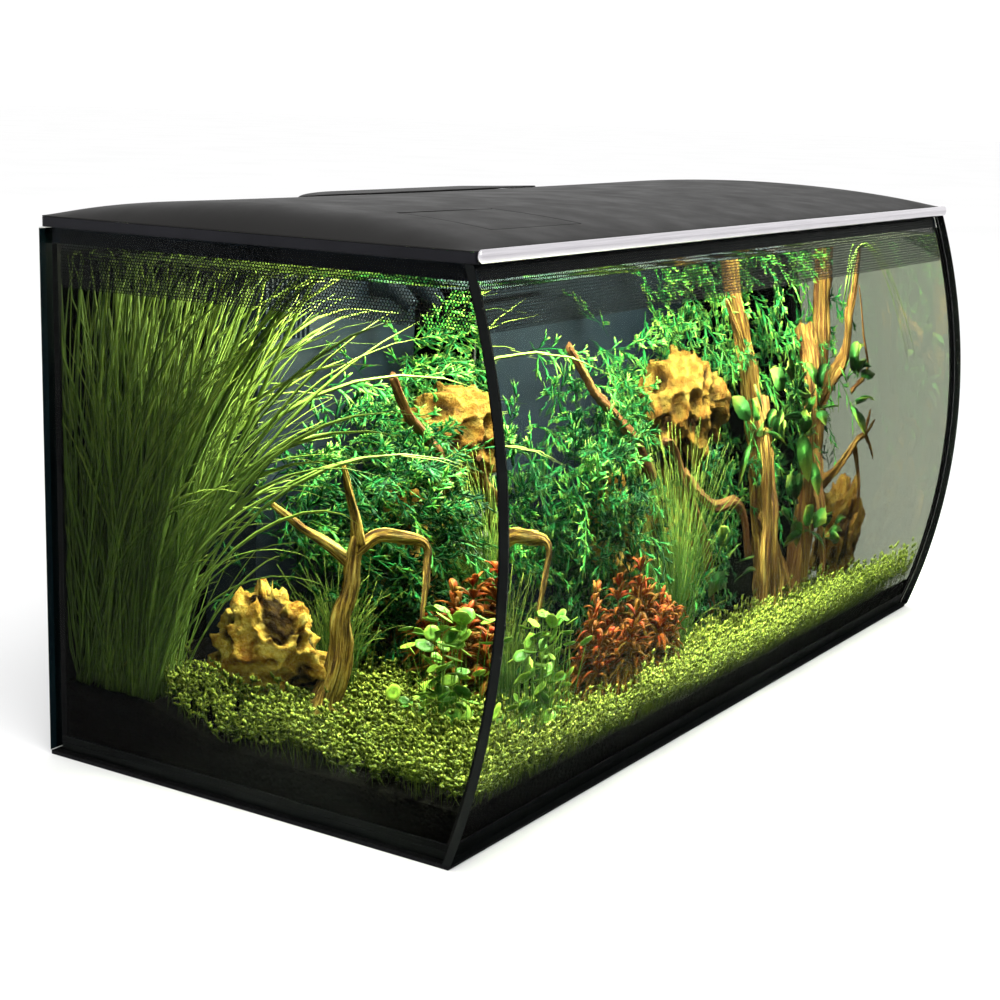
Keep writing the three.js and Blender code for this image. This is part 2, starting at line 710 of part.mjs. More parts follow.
const NOZZLE_TILT = (38 * Math.PI) / 180;
const NOZZLE = { back: 138, stop: 130, elbow: 124, front: 121, reach: 26, ductR: 5.5, mouthR: 5 };

// A collar that pushes over an outlet, with a spout that points down into the tank.
function nozzle(name, x) {
  const level = (y) => [x, y, OUTLET_Z];
  const down = (distance) => [
    x,
    NOZZLE.elbow - distance * Math.cos(NOZZLE_TILT),
    OUTLET_Z - distance * Math.sin(NOZZLE_TILT),
  ];
  const collar = rod(level(NOZZLE.back), level(NOZZLE.front), OUTLET_R + 3);
  const spout = rod(down(0), down(NOZZLE.reach), OUTLET_R + 1.5, 20, OUTLET_R - 1);
  const socket = rod(level(NOZZLE.back + 1), level(NOZZLE.stop), OUTLET_R + 0.4);
  const duct = rod(level(NOZZLE.stop + 1), level(NOZZLE.elbow), NOZZLE.ductR);
  const mouth = rod(down(-2), down(NOZZLE.reach + 4), NOZZLE.mouthR);
  part(name, collar.add(spout).subtract(socket).subtract(duct).subtract(mouth), blackPlastic());
}

// ---- planted layout ----
const smooth = (t) => {
  const s = Math.min(1, Math.max(0, t));
  return s * s * (3 - 2 * s);
};
// The soil banks up towards the back and falls slightly to the right.
const soilZ = (x, y) => 38 + 19 * smooth((y - 30) / 85) - (7 * (x + HALF_W)) / (2 * HALF_W);

// A limb of driftwood that tapers along a smooth curve.
function limb(points, r0, r1, grow = 0) {
  const curve = new THREE.CatmullRomCurve3(points.map((p) => new THREE.Vector3(...p)));
  const steps = points.length * 3;
  const sides = 8;
  const frames = curve.computeFrenetFrames(steps, false);
  const position = [];
  const index = [];
  for (let i = 0; i <= steps; i++) {
    const centre = curve.getPointAt(i / steps);
    const radius = r0 + ((r1 - r0) * i) / steps + grow;
    for (let j = 0; j < sides; j++) {
      const a = (j * 2 * Math.PI) / sides;
      const out = frames.normals[i]
        .clone()
        .multiplyScalar(Math.cos(a) * radius)
        .addScaledVector(frames.binormals[i], Math.sin(a) * radius);
      position.push(...centre.clone().add(out).toArray());
    }
  }
  for (let i = 0; i < steps; i++) {
    for (let j = 0; j < sides; j++) {
      const a = i * sides + j;
      const b = i * sides + ((j + 1) % sides);
      index.push(a, b, b + sides, a, b + sides, a + sides);
    }
  }
  for (let j = 1; j + 1 < sides; j++) {
    index.push(0, j + 1, j);
    index.push(steps * sides, steps * sides + j, steps * sides + j + 1);
  }
  const geometry = new THREE.BufferGeometry();
  geometry.setAttribute("position", new THREE.Float32BufferAttribute(position, 3));
  geometry.setIndex(index);
  return solid(geometry);
}

const leftWood = (grow) =>
  [
    [[[-302, 6, 32], [-292, 0, 80], [-280, -8, 140], [-270, -14, 186]], 13, 10],
    [[[-270, -14, 184], [-276, -10, 210], [-283, -6, 236]], 7, 3],
    [[[-272, -13, 178], [-256, -30, 184], [-240, -56, 182], [-244, -62, 158], [-262, -66, 130]], 8, 3.5],
    [[[-274, -8, 170], [-268, 20, 172], [-280, 60, 198]], 8, 4],
  ].map(([points, r0, r1]) => limb(points, r0, r1, grow));
const rearWood = (grow) =>
  limb([[236, 62, 28], [222, 64, 100], [190, 62, 200], [166, 62, 290], [160, 66, 340]], 17, 11, grow);
const rightWood = (grow) =>
  [
    [[[296, 62, 28], [304, 62, 120], [322, 62, 220], [344, 58, 300], [356, 60, 350]], 18, 13],
    [[[318, 54, 200], [340, 20, 240], [350, 4, 282], [372, 0, 330]], 8, 4],
  ].map(([points, r0, r1]) => limb(points, r0, r1, grow));
const joined = (bodies) => bodies.reduce((whole, body) => whole.add(body));

// A weathered stone: a ball with a wavy surface.
function boulder({ at, size, phase }, grow = 0) {
  const geometry = new THREE.IcosahedronGeometry(1, 2);
  const p = geometry.attributes.position;
  const v = new THREE.Vector3();
  for (let i = 0; i < p.count; i++) {
    v.fromBufferAttribute(p, i);
    const wave =
      1 +
      0.09 * Math.sin(4.1 * v.x + phase) * Math.cos(3.3 * v.y - phase) +
      0.07 * Math.sin(5.2 * v.z + 2 * phase);
    p.setXYZ(
      i,
      at[0] + v.x * (size[0] * wave + grow),
      at[1] + v.y * (size[1] * wave + grow),
      at[2] + v.z * (size[2] * wave + grow),
    );
  }
  return solid(geometry);
}

const stones = {
  rock_left: { at: [-290, 56, 92], size: [44, 50, 46], phase: 0.4 },
  rock_middle: { at: [-52, 54, 120], size: [36, 32, 76], phase: 1.7 },
  rock_upper: { at: [60, 56, 222], size: [60, 42, 42], phase: 2.9 },
  rock_base: { at: [46, 80, 106], size: [48, 34, 62], phase: 4.4 },
  rock_right: { at: [334, 10, 98], size: [52, 40, 50], phase: 5.6 },
};

// A clump of foliage: a column of ellipses whose centre and spread change with height.
function clump(rings) {
  const sides = 14;
  const position = [];
  const index = [];
  for (const [x, y, z, rx, ry] of rings) {
    for (let j = 0; j < sides; j++) {
      const a = (j * 2 * Math.PI) / sides;
      position.push(x + rx * Math.cos(a), y + ry * Math.sin(a), z);
    }
  }
  for (let i = 0; i + 1 < rings.length; i++) {
    for (let j = 0; j < sides; j++) {
      const a = i * sides + j;
      const b = i * sides + ((j + 1) % sides);
      index.push(a, b, b + sides, a, b + sides, a + sides);
    }
  }
  const last = (rings.length - 1) * sides;
  for (let j = 1; j + 1 < sides; j++) {
    index.push(0, j + 1, j);
    index.push(last, last + j, last + j + 1);
  }
  const geometry = new THREE.BufferGeometry();
  geometry.setAttribute("position", new THREE.Float32BufferAttribute(position, 3));
  geometry.setIndex(index);
  return solid(geometry);
}

const clumps = {
  tall_grass: [
    [-374, 150, 62, 20, 30],
    [-362, 130, 160, 32, 46],
    [-344, 104, 260, 46, 68],
    [-322, 80, 345, 58, 84],
  ],
  fern_thicket_left: [
    [-136, 104, 64, 26, 30],
    [-138, 98, 160, 44, 44],
    [-136, 92, 250, 60, 46],
    [-130, 90, 305, 44, 40],
  ],
  fern_thicket_right: [
    [206, 116, 60, 20, 16],
    [206, 116, 160, 30, 24],
    [200, 116, 300, 40, 26],
    [196, 116, 345, 34, 20],
  ],
  red_bush: [
    [-126, -64, 50, 34, 26],
    [-126, -64, 100, 62, 40],
    [-124, -62, 150, 40, 30],
  ],
  pennywort: [
    [-268, -92, 50, 14, 10],
    [-270, -92, 90, 22, 16],
    [-268, -90, 136, 16, 12],
  ],
  hair_grass_left: [
    [-234, 20, 62, 14, 14],
    [-230, 22, 110, 24, 24],
    [-228, 24, 150, 26, 26],
  ],
  hair_grass_middle: [
    [-4, -14, 50, 16, 12],
    [-6, -14, 120, 34, 20],
    [-8, -14, 190, 44, 24],
  ],
  broad_leaf_plant: [
    [262, -4, 120, 10, 10],
    [262, -2, 180, 34, 26],
    [256, -4, 236, 30, 20],
  ],
};

function largest(body) {
  const pieces = body.decompose();
  return pieces.reduce((a, b) => (a.volume() > b.volume() ? a : b));
}

function layout() {
  const clearance = 0.6;
  const obstacles = [
    joined(leftWood(clearance)),
    joined(rightWood(clearance)),
    rearWood(clearance),
    ...Object.values(stones).map((shape) => boulder(shape, clearance)),
    box(
      BOX.x0 - GAP,
      BOX.x1 + GAP,
      BOX.y0 - GAP,
      BOX.y1 + 2,
      BOX.z0 - GAP,
      BOX.z1 + 1,
    ),
  ];
  const clearOf = (body, blocks) => largest(blocks.reduce((a, b) => a.subtract(b), body));

  const back = INNER_BACK_Y - GAP;
  const bank = terrain(
    even(-SEAM_OUT, SEAM_OUT, 16),
    even(-195, back, 14),
    FLOOR_Z + GAP,
    soilZ,
  ).intersect(frontBlock(-SEAM_OUT, SEAM_OUT, FLOOR_Z, 90, INSET, back, 8));
  const corners = [-1, 1].flatMap((side) => {
    const x0 = side < 0 ? -SEAM_OUT - 1 : SEAM_IN - GAP;
    const x1 = x0 + SEAM + GAP + 1;
    return [
      box(x0, x1, back - SEAM - GAP, back + 1, CORNER_SEAM_Z - 1, 100),
      frontStrip(x0, x1, CORNER_SEAM_Z - 1, 100, INSET - 1, INSET + SEAM + GAP),
    ];
  });
  part(
    "substrate",
    clearOf(bank, [floorSeam(GAP), ...corners, ...obstacles]),
    finish(0x0c0b0b, 0.9, 0, 1),
  );
  part("driftwood_left", joined(leftWood(0)), wood());

  const trunks = obstacles.slice(0, 3);
  const laid = [];
  for (const [name, shape] of Object.entries(stones)) {
    const rock = clearOf(boulder(shape), [...trunks, ...laid]);
    part(name, rock, stone());
    laid.push(boulder(shape, clearance));
  }
  part("driftwood_rear", rearWood(0), wood());
  part("driftwood_right", joined(rightWood(0)), wood());

  for (const [name, rings] of Object.entries(clumps)) {
    part(name, clearOf(clump(rings), obstacles), foliage());
  }
}

tankPanes();
seams();
rimAndFilms();
hoodCrown();
serviceHatch();
hoodFrame();
lamp();
filterBox();
foamCartridge();
mediaBasket();
pump();
OUTLET_X.forEach((x, i) => nozzle("return_nozzle_" + (i + 1), x));
layout();

export default group;
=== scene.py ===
"""A planted aquarium with a curved front pane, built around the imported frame.

Sizes and places are millimetres, as in the part's source. build() turns them into metres.
"""
import json
import math

import bmesh
import bpy
import numpy as np
from mathutils import Matrix, Vector, noise

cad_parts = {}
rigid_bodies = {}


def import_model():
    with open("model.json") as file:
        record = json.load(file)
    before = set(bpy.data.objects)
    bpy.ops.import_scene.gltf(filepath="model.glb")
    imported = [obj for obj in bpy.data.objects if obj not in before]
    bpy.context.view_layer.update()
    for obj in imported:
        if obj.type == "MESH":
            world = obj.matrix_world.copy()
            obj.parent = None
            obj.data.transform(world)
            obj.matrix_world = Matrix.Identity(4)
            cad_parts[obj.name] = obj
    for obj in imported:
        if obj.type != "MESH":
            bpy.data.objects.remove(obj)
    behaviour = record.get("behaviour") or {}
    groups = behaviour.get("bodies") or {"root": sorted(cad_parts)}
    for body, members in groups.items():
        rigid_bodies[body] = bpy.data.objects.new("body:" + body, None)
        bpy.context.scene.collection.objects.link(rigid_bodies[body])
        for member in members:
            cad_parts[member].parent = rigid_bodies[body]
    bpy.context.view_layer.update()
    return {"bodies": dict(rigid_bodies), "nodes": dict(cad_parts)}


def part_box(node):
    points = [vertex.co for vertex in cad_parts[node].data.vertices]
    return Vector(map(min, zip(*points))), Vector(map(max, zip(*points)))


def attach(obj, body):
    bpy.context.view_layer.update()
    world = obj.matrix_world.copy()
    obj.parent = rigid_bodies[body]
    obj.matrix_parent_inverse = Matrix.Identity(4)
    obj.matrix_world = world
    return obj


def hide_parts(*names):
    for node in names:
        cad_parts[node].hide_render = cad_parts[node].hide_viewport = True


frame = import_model()
MM = 0.001

# ---- sizes shared with the part ----
HALF_W = 410
GLASS_T = 6
GLASS_Z = 3.3
FLOOR_Z = 9.3
SIDE_X = HALF_W - GLASS_T
INNER_BACK_Y = 193.2
TANK_H = 392
SEAM = 5
INSET = 6.3
JOINT = (6.02, 6.28)  # how far the corner joint lies behind the front pane's outer face
FRONT_R = 572.6
BULGE_Y = -200
BULGE_Z = 205
WATER_Z = 375

HOOD = (408.5, -168.5, 199.5)  # half length, front and back
HOOD_CORNER_R = 4
CROWN_BASE = 399.6
CROWN_TOP = 400
HOOD_T = 2.5
FLAP_GAP = 0.8
HINGE_R = 2.4
HINGE_BORE = 1.5
HATCH_LIP = 6
HATCH_SLOPE = 45
HATCH_ROUND = 7
HATCH_BACK_Z = 409.3

# ---- sizes of what only shows here ----
DOT_PITCH = 2.4
DOT_HOLE = 2.0
DOT_T = 0.25
RIPPLE = 0.25
WET_GAP = 1.2  # between the water and the glass
UP = np.array([0.0, 0.0, 1.0])
ACROSS = np.array([0.0, 1.0, 0.0])


def box(node):
    """A CAD node's lowest and highest corners, in millimetres."""
    low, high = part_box(node)
    return np.array(low) / MM, np.array(high) / MM


def front_y(z, behind=0.0):
    """Y of the curved front pane at a height, a distance behind its outer face."""
    return BULGE_Y + FRONT_R - np.sqrt((FRONT_R - behind) ** 2 - (z - BULGE_Z) ** 2)


def xyz(x, y, z):
    """Points from coordinates, each an array or one number for all."""
    return np.stack(np.broadcast_arrays(x, y, z), -1)


def smooth(t):
    t = np.clip(t, 0, 1)
    return t * t * (3 - 2 * t)


def soil_z(x, y):
    return 38 + 19 * smooth((y - 30) / 85) - 7 * (x + HALF_W) / (2 * HALF_W)


def crown_z(x, y):
    """The hood's crown: rolled ends, full at mid depth, a little lower at mid length."""
    half, front, back = HOOD
    across = np.clip(np.abs(y - (front + back) / 2) / ((back - front) / 2), 0, 1)
    from_end = np.clip((half + 0.5 - np.abs(x)) / 62.6, 0, 1)
    rise = 17.4 - 3.04 * (1 - (x / half) ** 2)
    return CROWN_TOP + rise * (1 - (1 - from_end) ** 4) * (1 - across**1.87) ** 0.66


# ---- mesh building ----
def build(name, points, faces, materials, body="tank", slot=None, replaces=(), **options):
    """A piece from points in millimetres and arrays of triangles or quads."""
    points = np.asarray(points, float).reshape(-1, 3)
    loops = np.concatenate([np.asarray(f).ravel() for f in faces])
    sizes = np.concatenate([np.full(len(f), np.shape(f)[1]) for f in faces])
    used, loops = np.unique(loops, return_inverse=True)
    mesh = bpy.data.meshes.new(name)
    mesh.vertices.add(len(used))
    mesh.vertices.foreach_set("co", (points[used] * MM).astype(np.float32).ravel())
    mesh.loops.add(len(loops))
    mesh.loops.foreach_set("vertex_index", loops.ravel().astype(np.int32))
    mesh.polygons.add(len(sizes))
    starts = np.concatenate([[0], np.cumsum(sizes)[:-1]])
    mesh.polygons.foreach_set("loop_start", starts.astype(np.int32))
    mesh.update(calc_edges=True)
    mesh.polygons.foreach_set("use_smooth", np.full(len(sizes), options.get("soft", True)))
    for key, values in options.get("fields", {}).items():
        values = np.asarray(values, np.float32)
        kind = "FLOAT_VECTOR" if values.ndim > 1 and values.shape[-1] == 3 else "FLOAT"
        values = values.reshape(len(points), -1)[used]
        attribute = mesh.attributes.new(key, kind, "POINT")
        attribute.data.foreach_set("vector" if kind == "FLOAT_VECTOR" else "value", values.ravel())
    for material in np.atleast_1d(materials):
        mesh.materials.append(material)
    if "material_index" in options:
        mesh.polygons.foreach_set("material_index", np.asarray(options["material_index"], np.int32))
    piece = bpy.data.objects.new(name, mesh)
    bpy.context.scene.collection.objects.link(piece)
    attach(piece, body)
    if replaces:
        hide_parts(*replaces)
    return piece


def unit(v):
    return v / np.maximum(np.linalg.norm(v, axis=-1, keepdims=True), 1e-9)


def sheet_solid(top, under, keep=None):
    """Quads that close two matching grids of points into one solid. keep marks the cells that exist."""
    rows, cols = top.shape[0] - 1, top.shape[1] - 1
    keep = np.ones((rows, cols), bool) if keep is None else keep
    at = np.arange((rows + 1) * (cols + 1)).reshape(rows + 1, cols + 1)
    below = at.size
    cells = np.stack([at[:-1, :-1], at[1:, :-1], at[1:, 1:], at[:-1, 1:]], -1)[keep]
    quads = [cells, cells[:, ::-1] + below]
    around = np.pad(keep, 1)
    along, across = around[:, 1:-1], around[1:-1, :]

    def wall(first, second, where):
        a, b = first[where], second[where]
        quads.append(np.stack([a, b, b + below, a + below], -1))

    wall(at[:, :-1], at[:, 1:], along[1:] & ~along[:-1])
    wall(at[:, 1:], at[:, :-1], ~along[1:] & along[:-1])
    wall(at[1:, :], at[:-1, :], across[:, 1:] & ~across[:, :-1])
    wall(at[:-1, :], at[1:, :], ~across[:, 1:] & across[:, :-1])
    return np.concatenate([top.reshape(-1, 3), under.reshape(-1, 3)]), quads


def tube_faces(count, stations, sides):
    """Faces of closed tubes, whose rings run anticlockwise seen from the far end."""
    ring = np.arange(count * stations * sides).reshape(count, stations, sides)
    turned = np.roll(ring, -1, axis=2)
    quads = np.stack([ring[:, :-1], turned[:, :-1], turned[:, 1:], ring[:, 1:]], -1).reshape(-1, 4)
    fan = np.stack([np.zeros(sides - 2, int), np.arange(1, sides - 1), np.arange(2, sides)], -1)
    start = ring[:, 0][:, fan[:, ::-1]].reshape(-1, 3)
    end = ring[:, -1][:, fan].reshape(-1, 3)
    return [quads, start, end]


def plan_to_round(x, y, half_x, y0, y1, radius):
    """Bends a rectangle's corner squares into quarter discs, so that its plan has round corners."""
    mid, half_y = (y0 + y1) / 2, (y1 - y0) / 2
    u = np.clip((np.abs(x) - (half_x - radius)) / radius, 0, 1)
    v = np.clip((np.abs(y - mid) - (half_y - radius)) / radius, 0, 1)
    inside = (u > 0) & (v > 0)
    round_x = half_x - radius + radius * u * np.sqrt(1 - v * v / 2)
    round_y = half_y - radius + radius * v * np.sqrt(1 - u * u / 2)
    x = np.where(inside, np.sign(x) * round_x, x)
    y = np.where(inside, mid + np.sign(y - mid) * round_y, y)
    return x, y


def crowded(low, high, steps, extra=()):
    """Lines that crowd towards both ends, with some given ones among them."""
    t = np.sin(np.linspace(-1, 1, steps + 1) * math.pi / 2)
    lines = (low + high) / 2 + (high - low) / 2 * t
    spare = [v for v in lines if all(abs(v - e) > 0.4 for e in extra)]
    return np.array(sorted([*spare, *extra]))


def around(node, margin):
    """The ranges of x and y that a CAD node takes up, grown by a margin."""
    low, high = box(node)
    return [(low[i] - margin, high[i] + margin) for i in (0, 1)]


def cells_outside(xs, ys, openings):
    """Marks the cells of a grid whose middle lies in none of the openings."""
    x, y = np.meshgrid((xs[:-1] + xs[1:]) / 2, (ys[:-1] + ys[1:]) / 2, indexing="ij")
    keep = np.ones(x.shape, bool)
    for (x0, x1), (y0, y1) in openings:
        keep &= ~((x > x0) & (x < x1) & (y > y0) & (y < y1))
    return keep


# ---- materials ----
class Nodes:
    """A material's node tree, built one node at a time."""

    def __init__(self, name):
        self.material = bpy.data.materials.new(name)
        self.material.use_nodes = True
        self.tree = self.material.node_tree
        self.tree.nodes.clear()

    def add(self, kind, inputs=None, out=0, **settings):
        node = self.tree.nodes.new("ShaderNode" + kind)
        for key, value in settings.items():
            setattr(node, key, value)
        for key, value in (inputs or {}).items():
            if isinstance(value, bpy.types.NodeSocket):
                self.tree.links.new(value, node.inputs[key])
            else:
                node.inputs[key].default_value = value
        return node.outputs[out]

    def place(self, stretch=(1, 1, 1)):
        where = self.add("TexCoord", out="Object")
        return self.add("Mapping", {"Vector": where, "Scale": stretch})

    def noise(self, scale, detail=4, vector=None, rough=0.55):
        vector = vector or self.place()
        inputs = {"Vector": vector, "Scale": scale, "Detail": detail, "Roughness": rough}
        return self.add("TexNoise", inputs)

    def cells(self, scale, feature="F1", vector=None, out="Distance"):
        vector = vector or self.place()
        return self.add("TexVoronoi", {"Vector": vector, "Scale": scale}, out, feature=feature)

    def field(self, name, out="Fac"):
        return self.add("Attribute", out=out, attribute_name=name)

    def math(self, operation, a, b=0.0):
        return self.add("Math", {0: a, 1: b}, operation=operation)

    def span(self, value, low, high, to_low=0.0, to_high=1.0):
        ends = {"From Min": low, "From Max": high, "To Min": to_low, "To Max": to_high}
        return self.add("MapRange", {"Value": value, **ends})

    def ramp(self, value, *stops):
        node = self.tree.nodes.new("ShaderNodeValToRGB")
        self.tree.links.new(value, node.inputs[0])
        elements = node.color_ramp.elements
        elements[0].position, elements[1].position = stops[0][0], stops[-1][0]
        elements[0].color, elements[1].color = (*stops[0][1], 1), (*stops[-1][1], 1)
        for position, colour in stops[1:-1]:
            elements.new(position).color = (*colour, 1)
        return node.outputs[0]

    def mix(self, factor, a, b, blend="MIX"):
        node = self.tree.nodes.new("ShaderNodeMix")
        node.data_type, node.blend_type = "RGBA", blend
        sockets = [s for s in node.inputs if s.type == "RGBA"]
        values = [(node.inputs[0], factor), (sockets[0], a), (sockets[1], b)]
        for socket, value in values:
            if isinstance(value, bpy.types.NodeSocket):
                self.tree.links.new(value, socket)
            else:
                socket.default_value = (*value, 1) if isinstance(value, tuple) else value
        return [s for s in node.outputs if s.type == "RGBA"][0]

    def bump(self, height, strength, distance):
        inputs = {"Height": height, "Strength": strength, "Distance": distance * MM}
        return self.add("Bump", inputs, out="Normal")

    def finish(self, shader):
        output = self.tree.nodes.new("ShaderNodeOutputMaterial")
        self.tree.links.new(shader, output.inputs["Surface"])
        return self.material

    def principled(self, colour, rough, bump=None, specular=0.5, **more):
        inputs = {"Base Color": colour, "Roughness": rough, "Specular IOR Level": specular}
        if bump is not None:
            inputs["Normal"] = bump
        return self.finish(self.add("BsdfPrincipled", {**inputs, **more}))


def moulded(name, dark, light, roughness, grain=1400, depth=0.05, patch=18, specular=0.5):
    """Plastic, rubber or metal: a colour that wanders a little, with a fine grain."""
    n = Nodes(name)
    colour = n.ramp(n.noise(patch, 5), (0.3, dark), (0.7, light))
    rough = n.span(n.noise(patch * 6, 6), 0.3, 0.7, roughness - 0.05, roughness + 0.07)
    return n.principled(colour, rough, n.bump(n.noise(grain, 2), 0.35, depth), specular)


def pane_glass():
    """Clear glass that keeps a faint sheen, and lets less of the room's light in than out."""
    n = Nodes("pane_glass")
    smear = n.span(n.noise(9, 3), 0.3, 0.7, 0.012, 0.03)
    gloss = n.add("BsdfGlossy", {"Color": (0.9, 0.95, 0.95, 1), "Roughness": smear})
    tint = n.ramp(n.noise(3, 1), (0.3, (0.83, 0.84, 0.82)), (0.7, (0.845, 0.85, 0.835)))
    clear = n.add("BsdfTransparent", {"Color": tint})
    share = n.math("MULTIPLY", n.add("Fresnel", {"IOR": 1.5}), PANE_SHEEN)
    seen = n.add("MixShader", {0: share, 1: clear, 2: gloss})
    shade = n.add("BsdfTransparent", {"Color": PANE_SHADE})
    shadow = n.add("LightPath", out="Is Shadow Ray")
    return n.finish(n.add("MixShader", {0: shadow, 1: seen, 2: shade}))


def water_material(name, kind):
    """Clear water that bends what is seen through it, and lets the lamps straight through.

    Where it is wet against a pane it doesn't mirror the room, as water and glass hardly do.
    Against the backdrop and the floor it only tints."""
    n = Nodes(name)
    tint = n.ramp(n.noise(4, 1), (0.3, (0.75, 0.79, 0.70)), (0.7, (0.77, 0.80, 0.72)))
    clear = n.add("BsdfTransparent", {"Color": tint})
    if kind == "back":
        return n.finish(clear)
    seen = n.add("BsdfGlass", {"Color": tint, "Roughness": 0.0, "IOR": 1.333})
    entering = n.add("BsdfRefraction", {"Color": tint, "Roughness": 0.0, "IOR": 1.333})
    inside = n.add("NewGeometry", out="Backfacing")
    mirror = n.math("MAXIMUM", inside, 0.25 if kind == "top" else 0.0)
    seen = n.add("MixShader", {0: mirror, 1: entering, 2: seen})
    shadow = n.add("LightPath", out="Is Shadow Ray")
    return n.finish(n.add("MixShader", {0: shadow, 1: seen, 2: clear}))


def glass_edge():
    """The ground edge of a pane: near-black green-grey with a soft gloss."""
    n = Nodes("glass_edge")
    colour = n.ramp(n.noise(40, 4), (0.3, (0.0025, 0.003, 0.003)), (0.7, (0.005, 0.006, 0.006)))
    return n.principled(colour, 0.5, n.bump(n.noise(500), 0.2, 0.1), 0.04)


def brushed(name, dark, light, roughness, stretch):
    """Metal with fine lines along one direction."""
    n = Nodes(name)
    lines = n.noise(900, 3, n.place(stretch))
    colour = n.ramp(lines, (0.3, dark), (0.7, light))
    rough = n.span(lines, 0.3, 0.7, roughness - 0.06, roughness + 0.08)
    return n.principled(colour, rough, n.bump(lines, 0.12, 0.03), Metallic=1.0)


def lens_material():
    """The lamp's frosted cover, brighter where a diode sits behind it."""
    n = Nodes("lamp_lens")
    dots = n.cells(70, vector=n.place((1, 1, 0)))
    glow = n.ramp(dots, (0.0, (0.95, 0.98, 1.0)), (0.55, (0.62, 0.76, 1.0)))
    light = {"Emission Color": glow, "Emission Strength": LENS_GLOW}
    material = n.principled(glow, 0.3, **light)
    material.cycles.emission_sampling = "NONE"
    return material


def foam_material(name, dark, light, cell):
    """Open-cell foam: small pits, painted near-black as shade, over a wandering tone."""
    n = Nodes(name)
    pits = n.cells(cell)
    tone = n.mix(n.noise(60, 4), dark, light)
    # Near-black in the pits: painted shade.
    colour = n.mix(n.span(pits, 0.0, 0.5), (0.002, 0.002, 0.003), tone)
    return n.principled(colour, 0.95, n.bump(pits, 0.9, 0.8), 0.1)


def net_material(name, thread, inside, pitch):
    """A net bag: woven threads over what it holds."""
    n = Nodes(name)
    one = n.add("TexWave", {"Vector": n.place((1, 0.3, 1)), "Scale": pitch}, bands_direction="X")
    two = n.add("TexWave", {"Vector": n.place((0.3, 0.3, 1)), "Scale": pitch}, bands_direction="Z")
    net = n.span(n.math("MAXIMUM", one, two), 0.72, 0.9)
    grains = n.cells(260)
    # Darker between the grains of what the bag holds: painted shade.
    fill = n.mix(n.span(grains, 0, 0.7), inside, tuple(0.25 * c for c in inside))
    colour = n.mix(net, fill, thread)
    height = n.math("ADD", net, n.math("MULTIPLY", grains, -1.2))
    return n.principled(colour, 0.85, n.bump(height, 0.8, 0.8))


def soil_material():
    """Near-black aquarium soil in small round grains."""
    n = Nodes("soil")
    grains = n.cells(330)
    tone = n.mix(n.noise(30, 4), (0.0012, 0.0012, 0.0011), (0.0055, 0.0045, 0.0032))
    # Darker at the edge of each grain, in the gaps between grains: painted shade.
    colour = n.mix(n.span(grains, 0.1, 0.6), tone, (0.0008, 0.0008, 0.0008))
    return n.principled(colour, 0.8, n.bump(n.math("MULTIPLY", grains, -1.0), 0.9, 1.4), 0.02)


def stone_material():
    """Clay-like stone: ochre ridges, rusty slopes and near-black hollows, which are painted shade."""
    n = Nodes("dragon_stone")
    layers = n.noise(52, 9, n.place((1, 1, 1.8)), 0.7)
    base = n.ramp(
        layers,
        (0.32, (0.16, 0.055, 0.008)),
        (0.44, (0.42, 0.22, 0.03)),
        (0.56, (0.70, 0.47, 0.09)),
        (0.72, (0.85, 0.70, 0.24)),
    )
    specks = n.span(n.noise(420, 6), 0.58, 0.7)
    base = n.mix(n.math("MULTIPLY", specks, 0.45), base, (0.74, 0.62, 0.30))
    rust = n.span(n.noise(70, 6), 0.5, 0.64)
    base = n.mix(n.math("MULTIPLY", rust, 0.85), base, (0.22, 0.07, 0.008))
    # Each stone darker by its own field: partly the stone's own tone, partly painted shade set stone by
    # stone.
    base = n.mix(n.field("pale"), (0.045, 0.018, 0.003), base)
    # Near-black in the deep bites: painted shade in the hollows.
    colour = n.mix(n.span(n.field("pit"), 0.45, 1.0), base, (0.012, 0.005, 0.001))
    height = n.math("ADD", n.noise(150, 8, rough=0.7), n.math("MULTIPLY", n.noise(500, 5), 0.5))
    return n.principled(colour, 0.9, n.bump(height, 1.0, 5.0), 0.06)


def wood_material():
    """Waterlogged root wood: golden ridges, dark furrows that run along the limb."""
    n = Nodes("driftwood")
    grain = n.noise(1.0, 8, n.field("grain", "Vector"), 0.68)
    colour = n.ramp(
        grain,
        (0.34, (0.014, 0.006, 0.0016)),
        (0.46, (0.10, 0.045, 0.008)),
        (0.55, (0.40, 0.24, 0.04)),
        (0.66, (0.74, 0.56, 0.16)),
    )
    patches = n.span(n.noise(24, 5), 0.42, 0.62)
    colour = n.mix(n.math("MULTIPLY", patches, 0.55), colour, (0.022, 0.011, 0.004))
    algae = n.span(n.noise(60, 4), 0.56, 0.72)
    colour = n.mix(n.math("MULTIPLY", algae, 0.45), colour, (0.035, 0.05, 0.008))
    # Each piece darker by its own field: partly the wood's own tone, partly painted shade.
    colour = n.mix(n.field("pale"), n.mix(0.9, colour, (0.05, 0.015, 0.004)), colour)
    return n.principled(colour, 0.75, n.bump(grain, 1.0, 3.0), 0.12)


